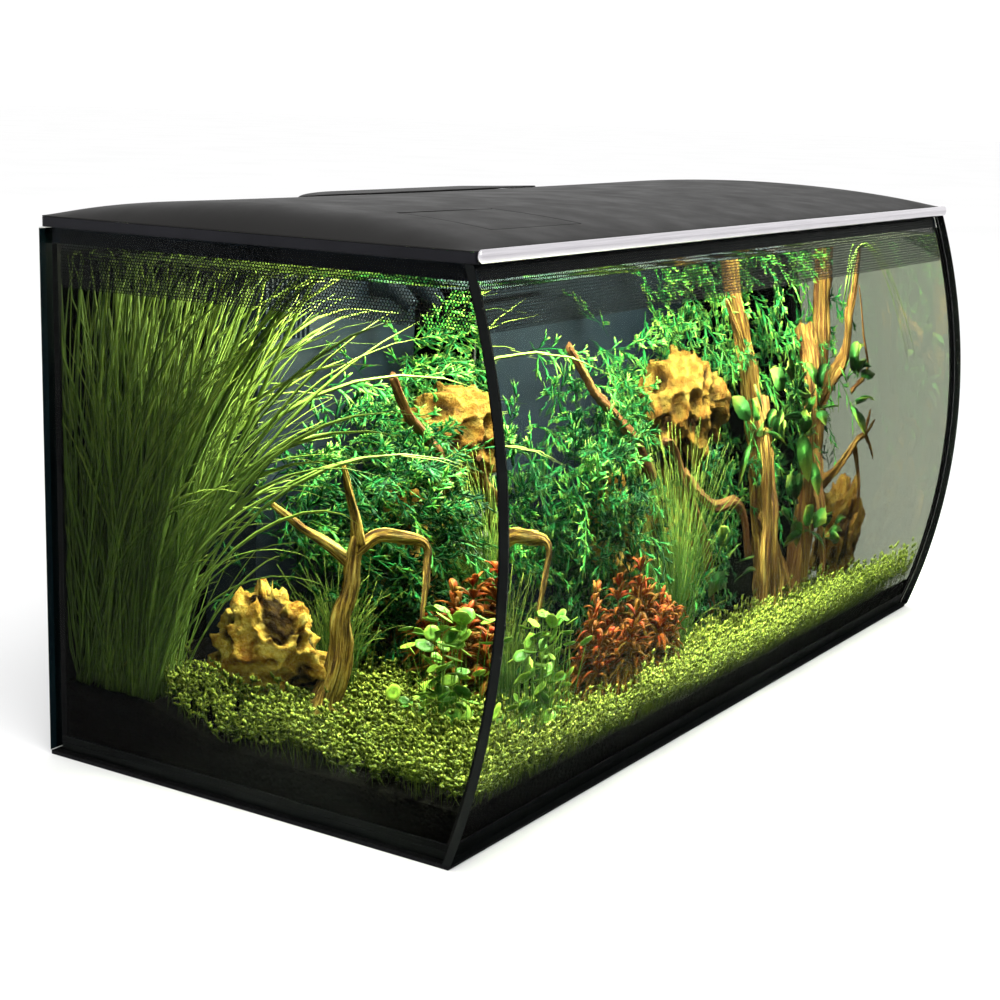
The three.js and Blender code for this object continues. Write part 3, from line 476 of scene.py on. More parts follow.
def leaf_material(name, dark, mid, bright, gloss=0.5, tip=(0.5, 0.52, 0.08), tip_share=0.5, root=0.45):
    """Living leaf: a tone for each leaf, veins along it, paler towards the tip (partly its own colour,
    partly painted lamp light) and darker at the root (painted shade).
    """
    n = Nodes(name)
    tone = n.field("tone")
    colour = n.ramp(tone, (0.0, dark), (0.5, mid), (1.0, bright))
    mottle = n.noise(180, 4)
    colour = n.mix(n.span(mottle, 0.35, 0.7, 0.0, 0.5), colour, dark)
    # Paler yellow tips: partly the leaf's own colour, partly painted lamp light on the tips.
    paler = n.math("MULTIPLY", n.span(n.field("along"), 0.5, 1.0), tip_share)
    colour = n.mix(n.math("MULTIPLY", paler, tone), colour, tip)
    # Darker towards the root, where the leaves crowd: painted shade. root sets how dark it gets.
    shaded = n.span(n.field("along"), 0.0, 0.3, root, 1.0)
    colour = n.mix(shaded, (0.012, 0.010, 0.002), colour)
    rough = n.span(mottle, 0.3, 0.7, gloss - 0.08, gloss + 0.1)
    return n.principled(colour, rough, n.bump(n.noise(900, 2), 0.3, 0.15), 0.05)


def floor_material():
    n = Nodes("studio_floor")
    colour = n.ramp(n.noise(1.5, 2), (0.3, (0.80, 0.80, 0.80)), (0.7, (0.83, 0.83, 0.83)))
    return n.principled(colour, 0.9)


# ---- light and look values ----
PANE_SHEEN = 0.005
PANE_SHADE = (0.75, 0.76, 0.75, 1)
LENS_GLOW = 5.0
WORLD = 1.2
LAMP_WATTS = 40.0

glass = pane_glass()
edge = glass_edge()
water_side = water_material("water_side", "side")
water_top = water_material("water_top", "top")
water_back = water_material("water_back", "back")
DULL = 0.1
DARK = 0.03
silicone = moulded("black_silicone", (0.0015, 0.0015, 0.002), (0.003, 0.003, 0.0035), 0.4, 600, 0.08,
                   specular=DARK)
mat_foam = foam_material("levelling_foam", (0.003, 0.003, 0.0035), (0.008, 0.008, 0.009), 900)
backdrop = moulded("background_film", (0.002, 0.007, 0.010), (0.004, 0.012, 0.017), 0.5, 900, 0.02,
                   patch=5, specular=DULL)
dots_black = moulded("dot_film", (0.002, 0.002, 0.003), (0.006, 0.006, 0.008), 0.4, 1500, 0.02,
                     specular=DULL)
black = moulded("black_plastic", (0.005, 0.005, 0.007), (0.009, 0.009, 0.012), 0.42, specular=DULL)
box_black = moulded("filter_plastic", (0.003, 0.005, 0.009), (0.006, 0.010, 0.018), 0.5, specular=DULL)
grey = moulded("grey_plastic", (0.015, 0.0145, 0.014), (0.018, 0.0175, 0.017), 0.46, 1800,
               patch=5, specular=DARK)
trim_metal = brushed("silver_trim", (0.52, 0.50, 0.53), (0.64, 0.62, 0.65), 0.2, (0.02, 1, 1))
steel = brushed("steel", (0.42, 0.42, 0.43), (0.62, 0.62, 0.63), 0.3, (1, 1, 0.1))
lens = lens_material()
board = moulded("lamp_board", (0.72, 0.75, 0.76), (0.86, 0.88, 0.88), 0.45, 900, 0.02)
foam = foam_material("filter_foam", (0.012, 0.013, 0.016), (0.035, 0.038, 0.045), 420)
carbon = net_material("carbon_mesh", (0.16, 0.16, 0.17), (0.012, 0.012, 0.013), 120)
biomedia = net_material("biomedia_mesh", (0.75, 0.73, 0.68), (0.62, 0.52, 0.4), 120)
rotor = moulded("impeller_plastic", (0.72, 0.70, 0.62), (0.82, 0.80, 0.73), 0.4)
soil = soil_material()
stone = stone_material()
wood = wood_material()

# Each leaf's dark, middle and bright tone.
GRASS = ((0.05, 0.085, 0.018), (0.14, 0.23, 0.045), (0.23, 0.34, 0.065))
FERN = ((0.002, 0.022, 0.008), (0.010, 0.13, 0.03), (0.08, 0.38, 0.06))
OVAL = ((0.006, 0.03, 0.008), (0.02, 0.09, 0.018), (0.06, 0.19, 0.03))
DISC = ((0.02, 0.08, 0.015), (0.07, 0.21, 0.03), (0.24, 0.40, 0.04))
CARPET = ((0.035, 0.055, 0.007), (0.09, 0.13, 0.016), (0.16, 0.21, 0.03))
HAIR = ((0.02, 0.055, 0.012), (0.05, 0.14, 0.025), (0.13, 0.26, 0.05))
RED = ((0.085, 0.06, 0.008), (0.20, 0.045, 0.008), (0.23, 0.005, 0.004))
# root sets the painted shade at the leaf bases: 1.0 leaves none, lower is darker.
grass_green = leaf_material("grass_leaf", *GRASS, tip_share=0.3, root=1.0)
fern_green = leaf_material("fern_leaf", *FERN)
oval_green = leaf_material("oval_leaf", *OVAL, 0.4)
disc_green = leaf_material("disc_leaf", *DISC, 0.35)
carpet_green = leaf_material("carpet_leaf", *CARPET)
hair_green = leaf_material("hair_leaf", *HAIR, root=0.8)
red = leaf_material("red_leaf", *RED, 0.5, (0.30, 0.14, 0.03), 0.45)


# ---- tank ----
def front_sheet(x0, x1, near, far):
    """Outer and inner points of a sheet as high as the front pane, which it follows."""
    x, z = np.meshgrid((x0, x1), np.linspace(GLASS_Z, TANK_H, 65), indexing="ij")
    return [xyz(x, front_y(z, behind), z) for behind in (near, far)]


def front_pane():
    """The bent pane: clear faces, ground edges."""
    points, faces = sheet_solid(*front_sheet(-HALF_W, HALF_W, 0, GLASS_T))
    index = np.repeat([0, 0, 1, 1, 1, 1], [len(f) for f in faces])
    build("front_pane_bent", points, faces, [glass, edge], slot="clear_glass",
          replaces=["front_pane"], soft=False, material_index=index)


def corner_seams():
    """Silicone in the two front corners: a bead inside and the thin joint against the side pane."""
    for side, sign in (("left", -1), ("right", 1)):
        low, high = box("seam_front_" + side)
        stations = np.linspace(low[2], high[2], 61)
        turn = np.linspace(0, math.pi / 2, 9)
        ring = np.array([(0.0, 0.0), *((SEAM * math.cos(a), SEAM * math.sin(a)) for a in turn)])
        points = np.empty((1, len(stations), len(ring), 3))
        for i, z in enumerate(stations):
            wobble = 1 + 0.05 * noise.noise(Vector((sign * 3.0, 0, z * 0.05)))
            points[0, i, :, 0] = sign * (SIDE_X - 0.3 - ring[:, 0] * wobble)
            points[0, i, :, 1] = front_y(z, INSET) + ring[:, 1] * wobble
            points[0, i, :, 2] = z
        faces = tube_faces(1, len(stations), len(ring))
        if sign < 0:
            faces = [f[:, ::-1] for f in faces]
        ends = sorted((sign * (HALF_W - 0.1), sign * (SIDE_X - 0.4)))
        joint, joint_faces = sheet_solid(*front_sheet(*ends, *JOINT))
        bead = points.reshape(-1, 3)
        faces += [f + len(bead) for f in joint_faces]
        build("seam_front_%s_bead" % side, np.vstack([bead, joint]), faces, silicone,
              slot="black_silicone", replaces=["seam_front_" + side])


def perforated(name, node, place, length, height):
    """A film with rows of six-sided holes. place(u, v) gives the outer and the inner surface."""
    half_pitch, row_step = DOT_PITCH * 0.5, DOT_PITCH * math.sqrt(3) / 2
    turn = np.arange(6) * math.pi / 3 + math.pi / 6
    rows, cols = np.arange(int(height / row_step)), np.arange(int(length / DOT_PITCH))
    j, i = np.meshgrid(rows, cols, indexing="ij")
    u = ((i + 0.5 * (j % 2)) * DOT_PITCH + half_pitch).ravel()[:, None]
    v = (j * row_step + DOT_PITCH * 0.6).ravel()[:, None]
    radii = (DOT_PITCH / math.sqrt(3), DOT_HOLE / 2)
    flat = np.stack([np.stack([u + r * np.cos(turn), v + r * np.sin(turn)], -1) for r in radii], 1)
    points = np.stack(place(flat[..., 0], flat[..., 1]), 1)
    at = np.arange(len(flat) * 24).reshape(-1, 2, 2, 6)
    after = np.roll(at, -1, axis=3)
    quads = []
    # The side and the ring of each quad's two edges: the outer face, the inner face, the hole.
    for (a, b), (c, d) in (((0, 0), (0, 1)), ((1, 1), (1, 0)), ((0, 1), (1, 1))):
        edges = [at[:, a, b], after[:, a, b], after[:, c, d], at[:, c, d]]
        quads.append(np.stack(edges, -1).reshape(-1, 4))
    build(name, points, quads, dots_black, slot="dot_film", replaces=[node], soft=False)


def dot_films():
    low, high = box("film_front")

    def on_front(u, v):
        z = np.minimum(low[2] + v, high[2])
        x = np.clip(low[0] + u, low[0], high[0])
        return [xyz(x, front_y(z, INSET + back), z) for back in (0, DOT_T)]

    perforated("dots_front", "film_front", on_front, high[0] - low[0] - DOT_PITCH, high[2] - low[2])
    for side, sign in (("left", -1), ("right", 1)):
        start, end = box("film_" + side)
        face = abs(start[0]) if sign < 0 else end[0]

        def on_side(u, v, start=start, end=end, face=face, sign=sign):
            z = np.minimum(start[2] + v, end[2])
            y = np.clip(start[1] + 5 + u, start[1], end[1])
            return [xyz(sign * (face - back), y, z) for back in (0, DOT_T)]

        length = end[1] - start[1] - 5 - DOT_PITCH
        perforated("dots_" + side, "film_" + side, on_side, length, end[2] - start[2])


def water_body():
    """The water, a closed body just clear of the panes, with a faint ripple on top."""
    side = SIDE_X - WET_GAP
    back = INNER_BACK_Y - WET_GAP
    bottom = FLOOR_Z + 0.5
    xs = np.linspace(-side, side, 109)
    zs = np.linspace(bottom, WATER_Z, 61)
    start = front_y(WATER_Z, GLASS_T + WET_GAP)
    ys = start + (back - start) * np.linspace(0, 1, 49)

    def ripple(x, y):
        from_panes = np.minimum(y - front_y(WATER_Z, 8), back - y)
        fade = smooth((side - np.abs(x)) / 20) * smooth(from_panes / 20)
        wave = np.sin(x / 17 + 1.3 * np.sin(y / 29)) + np.sin(y / 13 + 1.1 * np.sin(x / 37))
        return WATER_Z + RIPPLE * fade * wave

    points = []
    for x in xs:
        ring = [(x, front_y(z, GLASS_T + WET_GAP), z) for z in zs[:-1]]
        ring += [(x, y, float(ripple(x, y))) for y in ys]
        ring += [(x, back, z) for z in zs[-2::-6]]
        points.append([*ring, (x, back, bottom)])
    sides = len(points[0])
    faces = tube_faces(1, len(xs), sides)
    row = np.arange(sides)
    top_start, top_end = len(zs) - 1, len(zs) + len(ys) - 2
    kinds = np.where(row < top_start, 0, np.where(row < top_end, 1, 2))
    index = np.concatenate([np.tile(kinds, len(xs) - 1), np.zeros(len(faces[1]) + len(faces[2]))])
    build("water", points, [f[:, ::-1] for f in faces], [water_side, water_top, water_back],
          slot="clear_glass", soft=False, material_index=index)


# ---- hood ----
def hood_grid(xs, ys):
    x, y = np.meshgrid(xs, ys, indexing="ij")
    x, y = plan_to_round(x, y, *HOOD, HOOD_CORNER_R)
    return xyz(x, y, crown_z(x, y))


def hood_crown():
    """The moulded lid, with its two openings."""
    half, front, back = HOOD
    flap, hatch = openings = [around("feed_flap", FLAP_GAP), around("service_hatch", -HATCH_LIP)]
    xs = crowded(-half, half, 150, [*flap[0], *hatch[0]])
    ys = crowded(front, back, 84, [*flap[1], *hatch[1]])
    top = hood_grid(xs, ys)
    under = top.copy()
    under[..., 2] = np.maximum(top[..., 2] - HOOD_T, CROWN_BASE)
    solid = sheet_solid(top, under, cells_outside(xs, ys, openings))
    crown = build("hood_crown_moulding", *solid, grey, "hood", "grey_plastic", ["hood_crown"])
    round_edges(crown)


def round_edges(piece):
    bevel = piece.modifiers.new("round_edges", "BEVEL")
    bevel.width, bevel.segments = 0.5 * MM, 2
    bevel.limit_method, bevel.angle_limit = "ANGLE", math.radians(50)
    bevel.harden_normals = False


def feed_flap():
    """The flap's plate with the knuckle of its hinge."""
    low, high = box("feed_flap")
    hinge_y = high[1] - HINGE_R
    xs = np.linspace(low[0], high[0], 41)
    ys = np.linspace(low[1], hinge_y, 31)
    top = hood_grid(xs, ys)
    under = top - np.array([0, 0, HOOD_T])
    points, faces = sheet_solid(top, under)
    hinge_z = crown_z((low[0] + high[0]) / 2, hinge_y) - HINGE_R
    turn = np.linspace(0, 2 * math.pi, 32, endpoint=False)
    bore, skin = (
        np.stack([hinge_y + r * np.cos(turn), hinge_z + r * np.sin(turn)], 1)
        for r in (HINGE_BORE, HINGE_R)
    )
    ends = (low[0] + 4, high[0] - 4)
    ring = np.array([[(x, *p) for p in loop] for loop in (skin, bore) for x in ends])
    knuckle = np.arange(4 * 32).reshape(4, 32)
    order = [knuckle[0], knuckle[1], knuckle[3], knuckle[2], knuckle[0]]
    start = len(points)
    for a, b in zip(order, order[1:]):
        quads = np.stack([a, np.roll(a, -1), np.roll(b, -1), b], -1)
        faces.append(quads + start)
    points = np.concatenate([points, ring.reshape(-1, 3)])
    flap = build("feed_flap_moulding", points, faces, grey, "feed_flap", "grey_plastic", ["feed_flap"])
    round_edges(flap)


def service_hatch():
    """The raised cover over the filter: long slopes at its ends, short ones front and back."""
    low, high = box("service_hatch")
    half = high[0]
    xs = crowded(-half, half, 90)
    ys = crowded(low[1], high[1], 44)
    x, y = np.meshgrid(xs, ys, indexing="ij")
    mid, half_y = (low[1] + high[1]) / 2, (high[1] - low[1]) / 2

    def shoulder(distance, run):
        return np.sqrt(1 - (1 - np.clip(distance / run, 0, 1)) ** 2)

    rise = shoulder(half - np.abs(x), HATCH_SLOPE) * shoulder(half_y - np.abs(y - mid), HATCH_ROUND)
    x, y = plan_to_round(x, y, half, low[1], high[1], 14)
    base = crown_z(x, y) + 0.3
    roof = high[2] + (HATCH_BACK_Z - high[2]) * (y - low[1]) / (high[1] - low[1])
    top_z = base + 0.9 + np.maximum(roof - base - 0.9, 0) * rise
    top = xyz(x, y, top_z)
    under = xyz(x, y, np.maximum(top_z - HOOD_T, base))
    build("service_hatch_moulding", *sheet_solid(top, under), grey, "service_hatch",
          "grey_plastic", ["service_hatch"])


def front_trim():
    """A bright half-round strip with rounded ends."""
    low, high = box("front_trim")
    half_x, depth, end = high[0], high[1] - low[1], 4.0
    t = np.sin(np.linspace(0, math.pi / 2, 9))
    xs = np.concatenate([-half_x + end * (1 - t[::-1]), [0], half_x - end * (1 - t)])
    scale = np.sqrt(np.clip(1 - (1 - (half_x - np.abs(xs)) / end).clip(0) ** 2, 0.02, 1))
    turn = np.linspace(-math.pi / 2, math.pi / 2, 17)
    mid, half = (low[2] + high[2]) / 2, (high[2] - low[2]) / 2
    points = np.empty((1, len(xs), len(turn) + 2, 3))
    for i, (x, s) in enumerate(zip(xs, scale)):
        swell = depth * 0.7 * np.cos(turn)
        points[0, i, : len(turn), 1] = low[1] + depth * 0.7 - swell + (1 - s) * swell
        points[0, i, : len(turn), 2] = mid + half * s * np.sin(turn)
        points[0, i, len(turn) :, 1] = high[1]
        points[0, i, len(turn) :, 2] = (mid + half * s, mid - half * s)
        points[0, i, :, 0] = x
    faces = [f[:, ::-1] for f in tube_faces(1, len(xs), len(turn) + 2)]
    build("front_trim_strip", points, faces, trim_metal, "hood", "silver_trim", ["front_trim"])


# ---- plants ----
def blades(spines, widths, facing, keel=0.3, thick=0.12):
    """Points of closed three-sided blades along (n, k, 3) spines, their upper side towards facing."""
    tangent = unit(np.gradient(spines, axis=1))
    side = unit(np.cross(tangent, facing))
    normal = np.cross(side, tangent)
    width = widths[..., None]
    left, right = spines - side * width, spines + side * width
    ridge = spines - normal * (width * keel + thick)
    return np.stack([right, ridge, left], axis=2)


class Gathered:
    """Collects closed shapes with their fields, and then makes one piece of them."""

    def __init__(self):
        self.points, self.faces, self.fields, self.count = [], [[], [], []], {}, 0

    def put(self, points, faces, **fields):
        for kept, made in zip(self.faces, faces):
            kept.append(made + self.count)
        for key, values in fields.items():
            self.fields.setdefault(key, []).append(values)
        self.points.append(points.reshape(-1, 3))
        self.count += len(self.points[-1])

    def add(self, spines, widths, facing, tone, keel=0.3, thick=0.12):
        """Adds blades along (n, k, 3) spines. Widths, facing and tone may be shared by all blades."""
        facing = facing[:, None, :] if np.ndim(facing) == 2 else facing
        rings = blades(spines, np.broadcast_to(widths, spines.shape[:2]), facing, keel, thick)
        n, k, m, _ = rings.shape
        tone = np.broadcast_to(np.reshape(tone, (-1, 1, 1)), (n, k, m)).ravel()
        along = np.broadcast_to(np.linspace(0, 1, k)[None, :, None], (n, k, m)).ravel()
        self.put(rings, tube_faces(n, k, m), tone=tone, along=along)

    def make(self, name, material, slot, replaces=()):
        fields = {key: np.concatenate(values) for key, values in self.fields.items()}
        faces = [np.concatenate(f) for f in self.faces if f]
        build(name, np.concatenate(self.points), faces, material, slot=slot, replaces=replaces,
              fields=fields)


def leaf_widths(half_width, stations, fullest=0.4, sharp=1.0):
    """Half widths along a pointed leaf that is widest at a share of its length."""
    t = np.linspace(0, 1, stations)
    power = math.log(0.5) / math.log(fullest)
    shape = np.sin(math.pi * t**power) ** sharp
    return np.maximum(shape, 0.05)[None, :] * np.asarray(half_width)[:, None]


def leaf_spines(start, direction, length, droop, stations):
    """Spines that set out in a direction and sink towards their tips."""
    t = np.linspace(0, 1, stations)[None, :, None]
    length, droop = np.reshape(length, (-1, 1, 1)), np.reshape(droop, (-1, 1, 1))
    return start[:, None, :] + length * (t * direction[:, None, :] - droop * t**2 * UP)


def turned(azimuth, elevation):
    """Unit vectors from azimuth and elevation, in radians."""
    flat = np.cos(elevation)
    return xyz(np.cos(azimuth) * flat, np.sin(azimuth) * flat, np.sin(elevation))


def keep_in(points, margin=1.5):
    """Holds points inside the panes and under the water."""
    x = np.clip(points[..., 0], -SIDE_X + 2.5 + margin, SIDE_X - 2.5 - margin)
    z = np.minimum(points[..., 2], WATER_Z - 2 - 0.02 * (points[..., 2] - WATER_Z + 2))
    z = np.clip(z, FLOOR_Z + 6, WATER_Z - 2)
    y = np.clip(points[..., 1], front_y(z, GLASS_T) + 3 + margin, INNER_BACK_Y - 3 - margin)
    return xyz(x, y, z)


def ribbon_spines(rng, start, azimuth, length, lean0, lean1, stations):
    """Long blades that rise and then arch over, turning more towards their tips."""
    t = np.linspace(0, 1, stations)
    lean = lean0[:, None] + (lean1 - lean0)[:, None] * t[None, :] ** 1.6
    twist = azimuth[:, None] + rng.normal(0, 0.7, (len(azimuth), 1)) * t[None, :]
    step = xyz(np.cos(twist) * np.sin(lean), np.sin(twist) * np.sin(lean), np.cos(lean))
    step *= (length / (stations - 1))[:, None, None]
    path = np.cumsum(step, axis=1) - step
    return start[:, None, :] + path


def tall_grass():
    """Ribbon leaves from one row of crowns, fanning out and arching over as they rise."""
    rng = np.random.default_rng(11)
    taper = np.array([0.6, 0.85, 1, 1, 1, 1, 0.98, 0.95, 0.9, 0.8, 0.62, 0.38, 0.08])
    grass = Gathered()
    kinds = (  # count, half widths, lengths, lean at the base and its spread, arch
        (430, (0.9, 1.9), (220, 440), (9, 8), 40),
        (260, (0.4, 0.8), (120, 330), (12, 10), 52),
    )
    for n, widths, lengths, (lean, spread), arch in kinds:
        start = xyz(rng.uniform(-397, -352, n), rng.uniform(108, 184, n), 0.0)
        start[:, 2] = soil_z(start[:, 0], start[:, 1]) - 4
        to_front = rng.random(n) < 0.55
        azimuth = np.radians(np.where(to_front, rng.normal(-55, 40, n), rng.uniform(-180, 180, n)))
        lean0 = np.radians(rng.normal(lean, spread, n).clip(0, 25))
        lean1 = lean0 + np.radians(rng.gamma(1.2, arch * 0.75, n).clip(2, 95))
        spines = ribbon_spines(rng, start, azimuth, rng.uniform(*lengths, n), lean0, lean1, 13)
        facing = turned(azimuth + rng.normal(0, 0.9, n), 0.5)
        half = rng.uniform(*widths, n)[:, None]
        grass.add(keep_in(spines), half * taper, facing, rng.beta(1.5, 2.0, n), 0.25, 0.1)
    grass.make("tall_grass_leaves", grass_green, "grass_leaf", ["tall_grass"])


def fern_fronds(rng, starts, azimuth, elevation, length, leaflets, width, out, tone):
    """Fronds with alternating leaflets, each of which splits into narrow tips."""
    n = len(starts)
    direction = turned(azimuth, elevation)
    stalks = keep_in(leaf_spines(starts, direction, length, rng.uniform(0.1, 0.5, n), 7))
    up = UP + 0.4 * rng.normal(size=(n, 3))
    out.add(stalks, 0.6, up, tone * 0.5)
    for k in range(leaflets):
        share = 0.15 + 0.85 * k / (leaflets - 1)
        at = share * 6
        i = min(int(at), 5)
        base = stalks[:, i] * (i + 1 - at) + stalks[:, i + 1] * (at - i)
        ahead = unit(stalks[:, i + 1] - stalks[:, i])
        side = unit(np.cross(ahead, up)) * (1 if k % 2 else -1)
        spread = rng.uniform(0.5, 1.1, (n, 1)) * (1.0 if k < leaflets - 2 else 0.4)
        way = unit(ahead + side * spread + 0.3 * rng.normal(size=(n, 3)))
        size = length * (0.38 - 0.16 * share) * rng.uniform(0.7, 1.3, n)
        lit = np.clip(tone + rng.normal(0, 0.15, n), 0, 1)
        spines = leaf_spines(base, way, size, rng.uniform(0.0, 0.35, n), 5)
        out.add(keep_in(spines), leaf_widths(width * rng.uniform(0.8, 1.3, n), 5, 0.5), up, lit, 0.5)
        for fork in (-1, 1):
            apart = fork * rng.uniform(0.5, 1.0, (n, 1)) * unit(np.cross(way, up))
            tip_way = unit(way + apart + 0.2 * rng.normal(size=(n, 3)))
            tips = leaf_spines(spines[:, 2], tip_way, size * rng.uniform(0.35, 0.65, n), 0, 4)
            widths = leaf_widths(width * rng.uniform(0.6, 0.9, n), 4, 0.4)
            out.add(keep_in(tips), widths, up, lit, 0.5)


def fern_thickets():
    """Bright ferns that fill the back of the layout and grow up between the stones."""
    blocked = [
        ((30, 88, 300), (150, 150, 352)),
        ((-220, 60, 296), (-50, 200, 380)),
        ((-225, -10, 228), (-122, 200, 380)),
        ((-215, 30, 268), (45, 200, 380)),
    ]
    zones = {  # seed, ranges of x, y and z, count, lift of the tone, nodes replaced
        "fern_leaves_left": (21, (-215, -20), (40, 125), (90, 340), 250, 0, ["fern_thicket_left"]),
        "fern_leaves_front": (24, (-150, -62), (-5, 44), (60, 215), 120, -0.05, []),
        "fern_leaves_low": (25, (-20, 110), (26, 60), (60, 165), 60, -0.3, []),
        "fern_leaves_middle": (22, (-30, 170), (95, 130), (90, 345), 190, 0, []),
        "fern_leaves_right": (23, (120, 360), (60, 130), (120, 350), 220, 0.05, ["fern_thicket_right"]),
    }
    for name, (seed, xs, ys, zs, n, lift, replaced) in zones.items():
        rng = np.random.default_rng(seed)
        starts = xyz(rng.uniform(*xs, n), rng.uniform(*ys, n), rng.uniform(*zs, n))
        for low, high in blocked:
            inside = ((starts > np.array(low)) & (starts < np.array(high))).all(1)
            starts = starts[~inside]
        n = len(starts)
        azimuth = np.radians(rng.normal(-105, 55, n))
        elevation = np.radians(rng.normal(22, 32, n))
        # Tone rises with height: painted lamp light, brighter nearer the lamp above.
        tone = np.clip(rng.beta(1.3, 1.9, n) + (starts[:, 2] - 200) / 700 + lift, 0, 1)
        out = Gathered()
        fern_fronds(rng, starts, azimuth, elevation, rng.uniform(34, 66, n), 9, 1.7, out, tone)
        out.make(name, fern_green, "green_leaf", replaced)


def red_bush():
    """Stems with whorls of long drooping leaves, crimson at the crown and olive lower down."""
    rng = np.random.default_rng(31)
    low, high = box("red_bush")
    n = 34
    angle, reach = rng.uniform(0, 2 * math.pi, n), np.sqrt(rng.uniform(0, 1, n))
    centre = (low + high) / 2
    start = xyz(
        centre[0] + 60 * reach * np.cos(angle),
        centre[1] + 40 * reach * np.sin(angle),
        44.0,
    )
    height = (high[2] - 50) * (1 - 0.5 * reach**2) * rng.uniform(0.65, 1.0, n)
    way = unit(xyz(0.35 * reach * np.cos(angle), 0.35 * reach * np.sin(angle), np.ones(n)))
    out = Gathered()
    whorls = 7
    for k in range(whorls):
        share = (k + 1) / whorls
        base = start + way * (height * (0.25 + 0.75 * share))[:, None]
        for leaf in range(6):
            azimuth = leaf * math.pi / 3 + k * 0.5 + rng.normal(0, 0.3, n)
            elevation = np.radians(28 + 38 * share**3 + rng.normal(0, 12, n))
            length = rng.uniform(24, 42, n) * (1.05 - 0.25 * share)
            spines = leaf_spines(base, turned(azimuth, elevation), length, rng.uniform(0.4, 0.95, n), 8)
            crimson = 0.75 * share**1.5 * rng.uniform(0.2, 1.4, n)
            tone = np.clip(0.05 + crimson + rng.normal(0, 0.12, n), 0, 1)
            out.add(keep_in(spines), leaf_widths(rng.uniform(2.6, 4.2, n), 8, 0.45), UP, tone, 0.35)
    out.add(leaf_spines(start, way, height, 0, 5), 1.0, ACROSS, 0.3)
    out.make("red_bush_leaves", red, "red_leaf", ["red_bush"])


def disc_leaf(size, centre, tilt, rim):
    """A round leaf with six faint lobes, tilted to face a direction: its points and its faces."""
    turn = np.linspace(0, 2 * math.pi, rim, endpoint=False)
    lobes = 1 + 0.05 * np.cos(6 * turn)
    ring = xyz(lobes * np.cos(turn), lobes * np.sin(turn), 0.16) * size
    disc = np.vstack([[[0, 0, 0]], ring * (0.5, 0.5, 0.4), ring, ring - [0, 0, 0.35], [[0, 0, -0.7]]])
    turn_to = np.array(Vector(tilt).to_track_quat("Z", "Y").to_matrix())
    j = np.arange(rim)
    k = (j + 1) % rim
    first, last = np.zeros(rim, int), np.full(rim, 1 + 3 * rim)
    one, two, three = 1, 1 + rim, 1 + 2 * rim
    quads = [np.stack([a + j, b + j, b + k, a + k], 1) for a, b in ((one, two), (two, three))]
    tris = [np.stack([first, one + j, one + k], 1), np.stack([last, three + k, three + j], 1)]
    return disc @ turn_to.T + centre, [np.concatenate(quads), np.concatenate(tris)]


def pennywort():
    """Round leaves on thin stalks."""
    rng = np.random.default_rng(41)
    n, rim = 80, 18
    start = np.array([-268, -88, 0]) + np.array([26, 20, 0]) * rng.normal(0, 0.6, (n, 3))
    start[:, 2] = 44
    top = start + xyz(rng.normal(0, 9, n), rng.normal(0, 8, n), rng.uniform(22, 96, n))
    way = top - start
    spines = keep_in(leaf_spines(start, unit(way), np.linalg.norm(way, axis=1), 0, 6))
    stalks, leaves = Gathered(), Gathered()
    stalks.add(spines, 0.5, ACROSS, 0.4)
    stalks.make("pennywort_stalks", disc_green, "green_leaf", ["pennywort"])
    along = np.repeat([0, 0.4, 0.8, 0], [1, rim, 2 * rim, 1])
    for end in spines[:, -1]:
        size = rng.uniform(4.5, 8)
        tilt = turned(rng.uniform(0, 6.28), rng.uniform(0.6, 1.4))
        points, faces = disc_leaf(size, end, tilt, rim)
        leaves.put(points, faces, tone=np.full(len(points), rng.beta(2, 1.6)), along=along)
    leaves.make("pennywort_leaves", disc_green, "green_leaf")


def hair_grass(name, node, seed, count, height, spread):
    """A tuft of very fine leaves that fans out as it rises."""
    rng = np.random.default_rng(seed)
    low, high = box(node)
    centre = (low + high) / 2
    start = xyz(
        centre[0] + rng.normal(0, 7, count),
        centre[1] + rng.normal(0, 6, count),
        low[2] - 14,
    )
    azimuth = rng.uniform(0, 2 * math.pi, count)
    lean0 = np.radians(rng.gamma(2.0, spread * 0.35, count).clip(0, 40))
    lean1 = lean0 + np.radians(rng.gamma(2.2, spread, count).clip(4, 95))
    length = height * rng.uniform(0.45, 1.12, count)
    spines = keep_in(ribbon_spines(rng, start, azimuth, length, lean0, lean1, 12))
    taper = np.linspace(1, 0.25, 12)
    out = Gathered()
    out.add(spines, 0.45 * taper, turned(azimuth, 0.3), rng.beta(1.6, 1.8, count), 0.3, 0.2)
    out.make(name, hair_green, "grass_leaf", [node])


